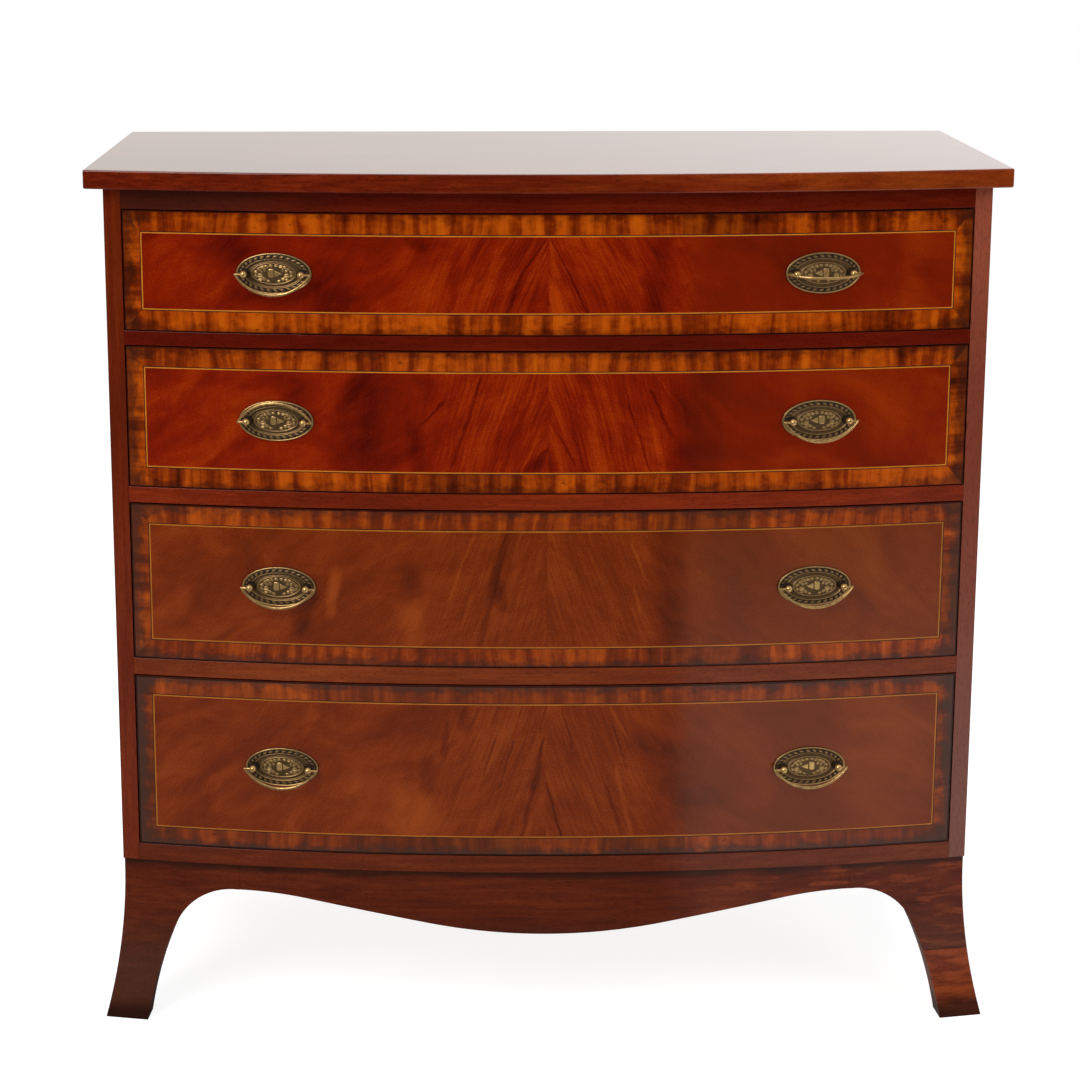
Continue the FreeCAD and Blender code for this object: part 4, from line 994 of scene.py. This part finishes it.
def base_finish(name, change):
    """Satin wood of the base, in one pattern all along, so that its joints hardly show."""
    return polished_wood(name, "x", case_shades(0.85), contrast=2.2, seed=17.0, coat=0.5,
                         haze=0.16, change=change)


class CHEST_OT_feet(bpy.types.Operator):
    """Splayed bracket feet"""
    bl_idname = "chest.feet"
    bl_label = "Feet"

    def execute(self, context):
        left = base_finish("mahogany_feet", base_wood)
        right = base_finish("mahogany_right_foot", pieced_toe)
        for end, shell in (("front", front_foot()), ("back", back_foot())):
            for side, way in SIDES:
                finish = right if (end, side) == ("front", "right") else left
                case_piece(f"{end}_{side}_splayed_foot", handed(shell, way), finish,
                           f"{end}_{side}_foot")
        return {"FINISHED"}


class CHEST_OT_aprons(bpy.types.Operator):
    """Front apron with a hanging middle, and side aprons"""
    bl_idname = "chest.aprons"
    bl_label = "Aprons"

    def execute(self, context):
        finish = base_finish("mahogany_apron", base_wood)
        along = polished_wood("mahogany_side_apron", "y", case_shades(0.8), seed=19.0, coat=0.5,
                              haze=0.16)
        x, t = grid(span(-FOOT_JOINT, FOOT_JOINT, 121), span(0, 1, 7))
        edge = apron_edge(x)
        faces = [spots(x, on_bow(x, radius), edge + t * (BASE_TOP - edge))
                 for radius in (BASE_RADIUS, BASE_RADIUS - BASE_STOCK)]
        case_piece("bowed_apron", slab(*faces), finish, "front_apron")
        low, high = box_of("right_apron")
        y, z = grid(span(low[1], high[1], 9), span(low[2], high[2], 3))
        shell = slab(spots(high[0], y, z), spots(low[0], y, z))
        for side, way in SIDES:
            case_piece(f"{side}_plain_apron", handed(shell, way), along,
                       f"{side}_apron")
        return {"FINISHED"}


# ---------------------------------------------------------------- drawer fronts
# each drawer's crossband: its width at top and bottom and at the sides, and one number for how
# dull its wood is and how far a painted haze of the polish greys it
BAND_WIDTHS = {1: 0.0221, 2: 0.0213, 3: 0.0211, 4: 0.0202}
SIDE_BAND_WIDTHS = {1: 0.0187, 2: 0.0187, 3: 0.0194, 4: 0.0184}
DULL_AND_HAZED = {1: 0.0, 2: 0.01, 3: 0.07, 4: 0.13}

# how far a band darkens in from its corners, how dark its sides are, and how deep it is sunk
DIM_ENDS = 0.045
DIM_SIDES = 0.55
SUNK = 0.0002


def rectangle(node, side_inset, inset):
    """Corners in x and z of a drawer front's face, drawn in at its sides and at top and bottom."""
    low, high = box_of(node)
    x0, x1, z0, z1 = low[0] + side_inset, high[0] - side_inset, low[2] + inset, high[2] - inset
    return np.array([(x0, z0), (x1, z0), (x1, z1), (x0, z1)])


def laid_on(flat, proud):
    """Faces of a veneer on a drawer front, from a grid of x and z: proud of the bow and in it."""
    x, z = flat[..., 0], flat[..., 1]
    return [spots(x, on_bow(x, BOW_RADIUS + rise), z) for rise in (proud, -SUNK)]


def mitred_frame(outside, inside, proud):
    """Four mitred strips between two rectangles.

    A point of strip k lies at share u of both rectangles' sides k and v of the way across.  The
    strips are darkened most at their ends, and the upright ones more than the level ones.
    """
    shells = []
    for k in range(4):
        a, b = outside[k], outside[(k + 1) % 4]
        c, e = inside[k], inside[(k + 1) % 4]
        share, way = grid(span(0, 1, 17 if k % 2 else 97), span(0, 1, 3))
        u, v = share[..., None], way[..., None]
        flat = (1 - v) * (a + u * (b - a)) + v * (c + u * (e - c))
        width = np.abs((c - a)[1 - k % 2])
        across = np.stack([flat[..., k % 2] + 2.7 * k, way * width], -1)
        length = np.abs(b - a).sum()
        ends = 1 - np.clip(np.minimum(share, 1 - share) * length / DIM_ENDS, 0, 1)
        worn = np.maximum(ends ** 2, DIM_SIDES * (k % 2))
        shells.append(slab(*laid_on(flat, proud), across=across, worn=worn))
    return total(shells)


class CHEST_OT_drawer_fronts(bpy.types.Operator):
    """Flame veneer, crossbanding and stringing of the drawer fronts"""
    bl_idname = "chest.drawer_fronts"
    bl_label = "Drawer fronts"

    def execute(self, context):
        inlay = context.scene.chest_inlay
        core = polished_wood("drawer_front_core", "x", case_shades(1.1), seed=21.0)
        lines = {kind: plain_line(f"boxwood_{kind}", tinted(woods().boxwood, lift),
                                  tinted(woods().boxwood, lift * 0.6))
                 for kind, lift in (("flame", 1.0), ("brown", 0.75))}
        dark = plain_line("ebony_line", (0.012, 0.006, 0.004), (0.03, 0.013, 0.008))
        bands = shades("band_golden", "band_brown", "band_black")
        for k in DRAWERS:
            node, body = f"drawer_{k}_front", f"drawer_{k}"
            low, high = box_of(node)
            finish_node(node, core)
            kind = "flame" if k < 3 else "brown"
            insets = [np.cumsum([inlay.edge_gap, widths[k], inlay.dark_line, inlay.boxwood_line])
                      for widths in (SIDE_BAND_WIDTHS, BAND_WIDTHS)]
            loops = [rectangle(node, *pair) for pair in zip(*insets)]
            band = crossband(f"crossband_{k}", *bands, seed=3.1 * k, dull_and_hazed=DULL_AND_HAZED[k])
            for name, i, finish in (("crossband", 0, band), ("dark_line", 1, dark),
                                    ("boxwood_line", 2, lines[kind])):
                piece(f"drawer_{k}_{name}", mitred_frame(loops[i], loops[i + 1], inlay.proud),
                      finish, body, crease=60)
            (x0, z0), _, (x1, z1), _ = loops[3]
            flat = np.stack(grid(span(x0, x1, 97), span(z0, z1, 9)), -1)
            across = flat - (0.0, (low[2] + high[2]) / 2)
            tones = shades(f"{kind}_dark", f"{kind}_middle", f"{kind}_light")
            veneer = flame_veneer(f"flame_veneer_{k}", tones, FLAMES[k], 5.3 * k, z1 - z0,
                                  1.0 if kind == "flame" else 0.6)
            piece(f"drawer_{k}_flame", slab(*laid_on(flat, inlay.proud), across=across), veneer,
                  body, crease=60)
        return {"FINISHED"}


class CHEST_OT_drawer_boxes(bpy.types.Operator):
    """Finishes of the drawers' sides, backs and bottoms"""
    bl_idname = "chest.drawer_boxes"
    bl_label = "Drawer boxes"

    def execute(self, context):
        lining = tuple(woods().lining)
        pair = [tinted(lining, 0.62), lining]
        along = bare_wood("drawer_side_lining", "y", pair, 70.0, 7.0)
        across = bare_wood("drawer_back_lining", "x", pair, 70.0, 8.0)
        bottom = bare_wood("drawer_bottom_ply", "x", [(0.30, 0.18, 0.09), (0.52, 0.36, 0.20)], 35.0)
        for k in DRAWERS:
            for part, finish in (("left_side", along), ("right_side", along), ("back", across),
                                 ("bottom", bottom)):
                finish_node(f"drawer_{k}_{part}", finish)
        return {"FINISHED"}


# ---------------------------------------------------------------- handles
def on_front(points, k, way):
    """From a handle's own place, X along its pivot line and -Y outwards, to its drawer's front."""
    low, high = box_of(f"drawer_{k}_front")
    turn = way * HANDLE_TURN
    x, y, z = points[..., 0], points[..., 1], points[..., 2]
    return spots(x * math.cos(turn) - y * math.sin(turn) + way * HANDLE_PLACE,
                 x * math.sin(turn) + y * math.cos(turn) + on_bow(HANDLE_PLACE, BOW_RADIUS),
                 z + (low[2] + high[2]) / 2)


def smooth(value, low, high):
    """0 up to low, 1 from high and a smooth rise between."""
    t = np.clip((value - low) / (high - low), 0, 1)
    return t * t * (3 - 2 * t)


def ridge(value, middle, width):
    """Rounded ridge of this half width about its middle."""
    return np.sqrt(np.clip(1 - ((value - middle) / width) ** 2, 0, None))


# along a bail's pin: how far from the middle of the pivot line, and its radius there
PIN = np.array([(0.0307, 0.0009), (0.0309, 0.0013), (0.0406, 0.0013), (0.0414, 0.0010)])

# a backplate's beads: the middle and half width of each, in shares of the way to the plate's edge
OUTER_BEAD = (0.962, 0.038)
INNER_BEAD = (0.715, 0.030)
OVAL_BEAD = (0.472, 0.024)
LEAVES_ROUND = 30

# shares of the way from the middle of a backplate to its edge, and the ovals' half axes there
OVALS = np.array([(0.0, 0.0, 0.0), (0.50, 0.0256, 0.0124), (0.70, 0.0316, 0.0155),
                  (1.0, 0.0420, 0.02275)])

# the spray on the raised oval: each leaf's middle in x and z, turn in degrees and half axes, in
# units of which SPRAY_SCALE make a metre
SPRAY_SCALE = 860
LEAVES = ((2.6, 7.4, 5, 2.3, 1.3), (6.8, 6.6, 20, 2.5, 1.5), (10.8, 5.9, -10, 2.5, 1.5),
          (14.2, 4.1, -35, 2.4, 1.4), (8.6, 3.1, 70, 2.3, 1.4), (12.0, 2.2, 40, 2.3, 1.4),
          (17.0, 1.2, -20, 2.3, 1.4), (12.6, -2.4, 0, 3.1, 2.5), (16.8, -2.6, 45, 2.2, 1.3),
          (9.0, -5.2, 20, 2.5, 1.5), (13.0, -6.0, -15, 2.5, 1.3), (5.0, -7.2, 15, 2.2, 1.2))


def spray(x, z):
    """Rounded leaves with a groove along each, alike on both sides of the middle."""
    x, z = np.abs(x) * SPRAY_SCALE, z * SPRAY_SCALE
    height = np.zeros_like(x)
    for middle_x, middle_z, turn, long, wide in LEAVES:
        turn = math.radians(turn)
        p = (x - middle_x) * math.cos(turn) + (z - middle_z) * math.sin(turn)
        q = (z - middle_z) * math.cos(turn) - (x - middle_x) * math.sin(turn)
        leaf = np.sqrt(np.clip(1 - (p / long) ** 2 - (q / wide) ** 2, 0, None))
        height = np.maximum(height, leaf * (1 - 0.6 * np.exp(-(q / 0.26) ** 2)))
    return height


def block_and_wedge(x, z):
    """Plain rounded block and beside it a wedge that points away from it, in millimetres."""
    x, z = x * 1000, z * 1000
    block = smooth(1 - ((x + 3.0) / 3.3) ** 4 - ((z - 0.3) / 5.0) ** 4, 0, 0.5)
    wedge = smooth((9.9 - x) * 0.42 - np.abs(z + 0.2), 0, 0.7) * smooth(x - 0.9, 0, 0.6)
    return np.maximum(block, wedge)


def plate_height(r, a, x, z, relief):
    """Height of the backplate's face above the wood at share r and angle a, and its wear.

    An outer bead, a band of leaning leaves, an inner bead, a hollow polished band, and a raised
    oval with a border, sprays of leaves and a plain block and wedge.  It is dark round the posts.
    """
    outer = ridge(r, *OUTER_BEAD)
    inner = ridge(r, *INNER_BEAD)
    band = smooth(r, 0.735, 0.755) * (1 - smooth(r, 0.905, 0.925))
    t = np.clip((r - 0.745) / 0.17, 0, 1)
    lean = a / (2 * math.pi) * LEAVES_ROUND + 0.5 * t * np.sign(np.sin(a))
    leaf = np.abs(np.sin(math.pi * lean)) ** 0.6 * np.sin(math.pi * t) ** 0.5
    leaf = leaf ** 1.8 * (1 - 0.6 * np.abs(np.sin(math.pi * (lean + 0.5))) ** 16)
    hollow = (1 - smooth(r, 0.66, 0.70)) * smooth(r, 0.50, 0.54)
    dish = np.sin(math.pi * np.clip((r - 0.51) / 0.17, 0, 1))
    oval = 1 - smooth(r, 0.495, 0.52)
    border = ridge(r, *OVAL_BEAD)
    field = 1 - smooth(r, 0.43, 0.45)
    figure = np.maximum(spray(x, z) * 0.9, block_and_wedge(x, z))
    rise = (0.0012 + 0.0012 * outer * (r > 0.9) + 0.0010 * smooth(r, 0.68, 0.73)
            * (1 - smooth(r, 0.90, 0.93)) + 0.0007 * inner * (r < 0.76)
            + band * leaf * relief - 0.0004 * dish * hollow + 0.0009 * oval
            + 0.0006 * border * oval + field * (figure * relief - 0.0002))
    wear = (0.34 * (r < 0.5) + 0.88 * outer + 0.72 * inner + band * (leaf * 0.90 - 0.12)
            + (0.60 - 0.26 * dish) * hollow + 0.36 * border * oval + field * figure * 0.70)
    apart = np.hypot(np.abs(x) - BORING / 2, z)
    return rise, np.clip(wear, 0, 1) * (0.15 + 0.85 * smooth(apart, 0.0046, 0.0066))


def backplate(relief):
    """Oval plate: rings between the ovals, with the edge brought down to the wood."""
    r = np.concatenate([span(0.02, 0.98, 76), span(0.985, 1.0, 4)])
    r, a = grid(r, whole_turn(288))
    x = np.interp(r, OVALS[:, 0], OVALS[:, 1]) * np.cos(a)
    z = np.interp(r, OVALS[:, 0], OVALS[:, 2]) * np.sin(a)
    rise, wear = plate_height(r, a, x, z, relief)
    points = np.concatenate([spots(x, -rise, z), spots(x[-1:], 0.0, z[-1:])])
    return rings(points, relief=np.concatenate([wear, wear[-1:] * 0]))


def lathe(profile, count=32):
    """Turned piece about the outward axis, from its radius and how far out it stands.

    Its wear rises from the collar to the ball, and is middling on the nut behind the front.
    """
    radius, out = np.repeat(np.array(profile).T[:, :, None], count, 2)
    turn = whole_turn(count)
    wear = np.where(out < -0.01, 0.6, 0.95 * smooth(out, 0.0083, 0.0098) + 0.05)
    return rings(spots(radius * np.cos(turn), -out, radius * np.sin(turn)), relief=wear)


def post():
    """Threaded shank, collar, neck and ball of a post, with its nut behind the drawer front."""
    ball, neck = 0.0040, 0.0024
    turn = span(math.pi - math.asin(neck / ball), 0.04, 17)
    round_head = np.column_stack([ball * np.sin(turn), PIVOT_STAND + ball * np.cos(turn)])
    stem = [(0.0004, -0.0270), (0.0016, -0.0270), (0.0020, -0.0266), (0.0020, 0.0010),
            (0.0040, 0.0010), (0.0042, 0.0014), (0.0042, 0.0034), (0.0039, 0.0038),
            (0.0026, 0.0040), (neck, 0.0046)]
    nut = [(0.0004, -0.0233), (0.0035, -0.0233), (0.0040, -0.0229), (0.0040, -0.0206),
           (0.0035, -0.0202), (0.0004, -0.0202)]
    return lathe(np.concatenate([stem, round_head])) + lathe(nut, 6)


def bail(angle):
    """Crescent bail hanging from its pivot line, turned up by angle, with a pin at each tip.

    At share t of the way the outer and the inner arc give the section's middle and half width;
    both narrow to a point past each tip.
    """
    half, tip, drop, inner_drop = 0.04265, 0.0024, 0.0243, 0.0207
    thin, belly = 0.0013, 0.0003
    t = np.sin(span(-math.pi / 2, math.pi / 2, 65))[:, None]

    def curve(reach, depth):
        radius = (reach ** 2 + depth ** 2) / (2 * depth)
        turn = math.asin(reach / radius) * t
        return np.concatenate([radius * np.sin(turn), -depth + radius * (1 - np.cos(turn))], 1)

    outer, inner = curve(half, drop), curve(half - tip, inner_drop)
    middle, spread = (outer + inner) / 2, (inner - outer) / 2
    ends = [np.concatenate([middle[[i]] + (0, rise) for rise in rises])
            for i, rises in ((0, (0.0013, 0.0011, 0.0007)), (-1, (0.0007, 0.0011, 0.0013)))]
    shares = [np.array([0.12, 0.55, 0.85]), np.array([0.85, 0.55, 0.12])]
    spreads = [spread[[i]] * share[:, None] for i, share in zip((0, -1), shares)]
    middle = np.concatenate([ends[0], middle, ends[1]])
    spread = np.concatenate([spreads[0], spread, spreads[1]])
    thick = np.concatenate([shares[0] * thin, thin + belly * (1 - t[:, 0] ** 2),
                            shares[1] * thin])
    turn = whole_turn(20)
    crescent = spots(middle[:, :1] + spread[:, :1] * np.cos(turn), thick[:, None] * np.sin(turn),
                     middle[:, 1:] + spread[:, 1:] * np.cos(turn))
    turn = whole_turn(16)
    pins = [spots(way * PIN[:, :1], PIN[:, 1:] * np.cos(turn), PIN[:, 1:] * np.sin(turn))
            for way in (-1, 1)]

    def turned(points):
        x, y, z = points.T
        return spots(x, y * math.cos(angle) + z * math.sin(angle) - PIVOT_STAND,
                     z * math.cos(angle) - y * math.sin(angle))
    return total([rings(part) for part in (crescent, *pins)]).moved(turned)


def at_handle(shell, k, way):
    return shell.moved(lambda points: on_front(points, k, way))


class CHEST_OT_backplates(bpy.types.Operator):
    """Oval backplates with beads, leaves and a raised oval"""
    bl_idname = "chest.backplates"
    bl_label = "Backplates"

    def execute(self, context):
        finish = antique_brass("brass_backplate", relief=True)
        plate = backplate(context.scene.chest_brass.relief)
        for k in DRAWERS:
            pair = total([at_handle(handed(plate, -way), k, way) for _, way in SIDES])
            piece(f"drawer_{k}_oval_plates", pair, finish, f"drawer_{k}",
                  [f"drawer_{k}_backplates"], crease=70)
        return {"FINISHED"}


class CHEST_OT_posts(bpy.types.Operator):
    """Ball-headed posts and their nuts"""
    bl_idname = "chest.posts"
    bl_label = "Posts"

    def execute(self, context):
        finish = antique_brass("brass_post", relief=True)
        pair = [post().moved(lambda points: points + (place, 0, 0))
                for place in (-BORING / 2, BORING / 2)]
        for k in DRAWERS:
            posts = total([at_handle(stem, k, way) for _, way in SIDES for stem in pair])
            piece(f"drawer_{k}_ball_posts", posts, finish, f"drawer_{k}",
                  [f"drawer_{k}_posts"], crease=40)
        return {"FINISHED"}


class CHEST_OT_bails(bpy.types.Operator):
    """Crescent bails, one standing out and one turned up"""
    bl_idname = "chest.bails"
    bl_label = "Bails"

    def execute(self, context):
        finish = antique_brass("brass_bail")
        for k in DRAWERS:
            for side, way in SIDES:
                name = f"drawer_{k}_{side}_bail"
                shell = at_handle(bail(RAISED.get((k, side), 0.0)), k, way)
                piece(f"{name}_crescent", shell, finish, name, [name], crease=50)
        return {"FINISHED"}


# ---------------------------------------------------------------- studio
CAMERA_PLACE = (-0.10168, -3.10473, 1.29360)
CAMERA_TURNS = (("Z", -0.00253), ("X", math.pi / 2 - 0.22435), ("Z", -0.00123))
CAMERA_LENS = 88.756
CAMERA_SHIFT = (0.07178, -0.04682)


class CHEST_OT_studio(bpy.types.Operator):
    """Pale floor, soft lamps, plain surroundings and the camera"""
    bl_idname = "chest.studio"
    bl_label = "Studio"

    def execute(self, context):
        scene = context.scene
        self.surroundings(scene)
        self.floor(scene)
        self.lamps(scene)
        self.camera(scene)
        scene.view_settings.view_transform = "Standard"
        return {"FINISHED"}

    def surroundings(self, scene):
        """White to the eye; a mirror sees white behind the chest and a dim room before it."""
        world = bpy.data.worlds.new("plain_studio")
        scene.world = world
        f = Finish(world)
        x, y, z = f.parts(f.node("VectorMath", {0: f.place("Generated")}, operation="NORMALIZE"))
        behind = y.step(-0.25, 0.35)
        above = z.step(0.15, 0.8)
        right = x.step(-0.15, 0.3)
        side = x.step(0.2, 0.9) * 0.25
        seen = behind * (right * 0.16 + 0.95) + above * 0.35 + side + 0.02
        path = self.paths(f)
        soft = f.node("Background", {0: (0.93, 0.96, 1.0), 1: 0.42})
        tint = f.blend(right, (1.0, 0.96, 0.90), (1.0, 1.02, 1.01))
        mirror = f.node("Background", {0: tint, 1: seen})
        white = f.node("Background", {0: (1.0, 1.0, 1.0), 1: 1.0})
        lit = f.node("MixShader", {0: path["Is Glossy Ray"], 1: soft, 2: mirror})
        eye = path["Is Camera Ray"].most(path["Is Transmission Ray"])
        f.out("ShaderNodeOutputWorld", f.node("MixShader", {0: eye, 1: lit, 2: white}))

    def paths(self, f):
        """What kind of ray sees a surface, by the kinds' names."""
        item = f.tree.nodes.new("ShaderNodeLightPath")
        return {socket.name: Value(f, socket) for socket in item.outputs}

    def floor(self, scene):
        """Pale floor that keeps the chest's shadow; a mirror sees it only near the chest."""
        x, y = grid(span(-14, 14, 3), span(-14, 20, 3))
        mesh = bpy.data.meshes.new("studio_floor")
        mesh.from_pydata(spots(x, y, 0.0).reshape(-1, 3).tolist(), [], grid_faces(3, 3).tolist())
        f = new_finish("pale_floor")
        path = self.paths(f)
        x, y, _ = f.parts(f.place())
        right = (x + (y + 0.23) * 0.22).step(0.12, 0.19)
        near = y.step(-3.4, -0.8) * (right * 0.42 + 0.2)
        seen = near.most(y.step(-0.3, 0.3) * 0.8).most(0.03)
        lit = f.blend(path["Is Camera Ray"], (0.84, 0.84, 0.84), (0.45, 0.45, 0.45))
        colour = f.blend(path["Is Glossy Ray"], lit,
                         f.node("CombineColor", {0: seen, 1: seen, 2: seen}))
        plain = f.node("BsdfDiffuse", {0: colour})
        glow = f.node("Emission", {0: (1.0, 1.0, 1.0), 1: path["Is Camera Ray"] * 0.83})
        f.out("ShaderNodeOutputMaterial", f.node("AddShader", {0: plain, 1: glow}))
        mesh.materials.append(f.owner)
        item = bpy.data.objects.new("studio_floor", mesh)
        scene.collection.objects.link(item)

    def lamps(self, scene):
        """Soft square lamps; the fill is not mirrored, so that it leaves no glare on the top."""
        for name, place, aim, size, power, colour in (
                ("key", (-2.3, -3.0, 3.0), (0, 0, 0.45), 2.2, 95.0, (1.0, 0.98, 0.95)),
                ("fill", (3.0, -2.4, 1.9), (0, 0, 0.5), 2.2, 45.0, (0.94, 0.97, 1.0)),
                ("overhead", (0.0, 0.6, 3.6), (0, 0, 0), 3.0, 50.0, (1.0, 1.0, 1.0))):
            data = bpy.data.lights.new(name, "AREA")
            data.shape, data.size, data.energy, data.color = "SQUARE", size, power, colour
            item = bpy.data.objects.new(name, data)
            scene.collection.objects.link(item)
            item.visible_glossy = name != "fill"
            item.location = place
            way = np.array(aim) - np.array(place)
            item.rotation_euler = (math.atan2(math.hypot(way[0], way[1]), -way[2]), 0,
                                   math.atan2(-way[0], way[1]))

    def camera(self, scene):
        data = bpy.data.cameras.new("front_camera")
        data.lens, data.sensor_width = CAMERA_LENS, 36.0
        data.shift_x, data.shift_y = CAMERA_SHIFT
        item = bpy.data.objects.new("front_camera", data)
        scene.collection.objects.link(item)
        view = Matrix.Translation(CAMERA_PLACE)
        for axis, turn in CAMERA_TURNS:
            view = view @ Matrix.Rotation(turn, 4, axis)
        item.matrix_world = view
        scene.camera = item


# ---------------------------------------------------------------- panel and run
OPERATORS = (CHEST_OT_top, CHEST_OT_sides, CHEST_OT_rails, CHEST_OT_carcase, CHEST_OT_feet,
             CHEST_OT_aprons, CHEST_OT_drawer_fronts, CHEST_OT_drawer_boxes, CHEST_OT_backplates,
             CHEST_OT_posts, CHEST_OT_bails, CHEST_OT_studio)


class CHEST_PT_panel(bpy.types.Panel):
    """The chest's shades, sizes and steps"""
    bl_label = "Bow Front Chest"
    bl_space_type = "VIEW_3D"
    bl_region_type = "UI"
    bl_category = "Chest"

    def draw(self, context):
        for group in (context.scene.chest_woods, context.scene.chest_inlay,
                      context.scene.chest_brass):
            column = self.layout.column()
            for name in group.__annotations__:
                column.prop(group, name)
        for operator in OPERATORS:
            self.layout.operator(operator.bl_idname)


GROUPS = {"chest_woods": ChestWoods, "chest_inlay": ChestInlay, "chest_brass": ChestBrass}


def register():
    for kind in (*GROUPS.values(), *OPERATORS, CHEST_PT_panel):
        bpy.utils.register_class(kind)
    for name, group in GROUPS.items():
        setattr(bpy.types.Scene, name, PointerProperty(type=group))


def unregister():
    for name in GROUPS:
        delattr(bpy.types.Scene, name)
    for kind in (CHEST_PT_panel, *reversed(OPERATORS), *reversed(GROUPS.values())):
        bpy.utils.unregister_class(kind)


def main():
    """Make every piece and the studio."""
    register()
    for operator in OPERATORS:
        group, name = operator.bl_idname.split(".")
        getattr(getattr(bpy.ops, group), name)()


if __name__ == "__main__":
    main()
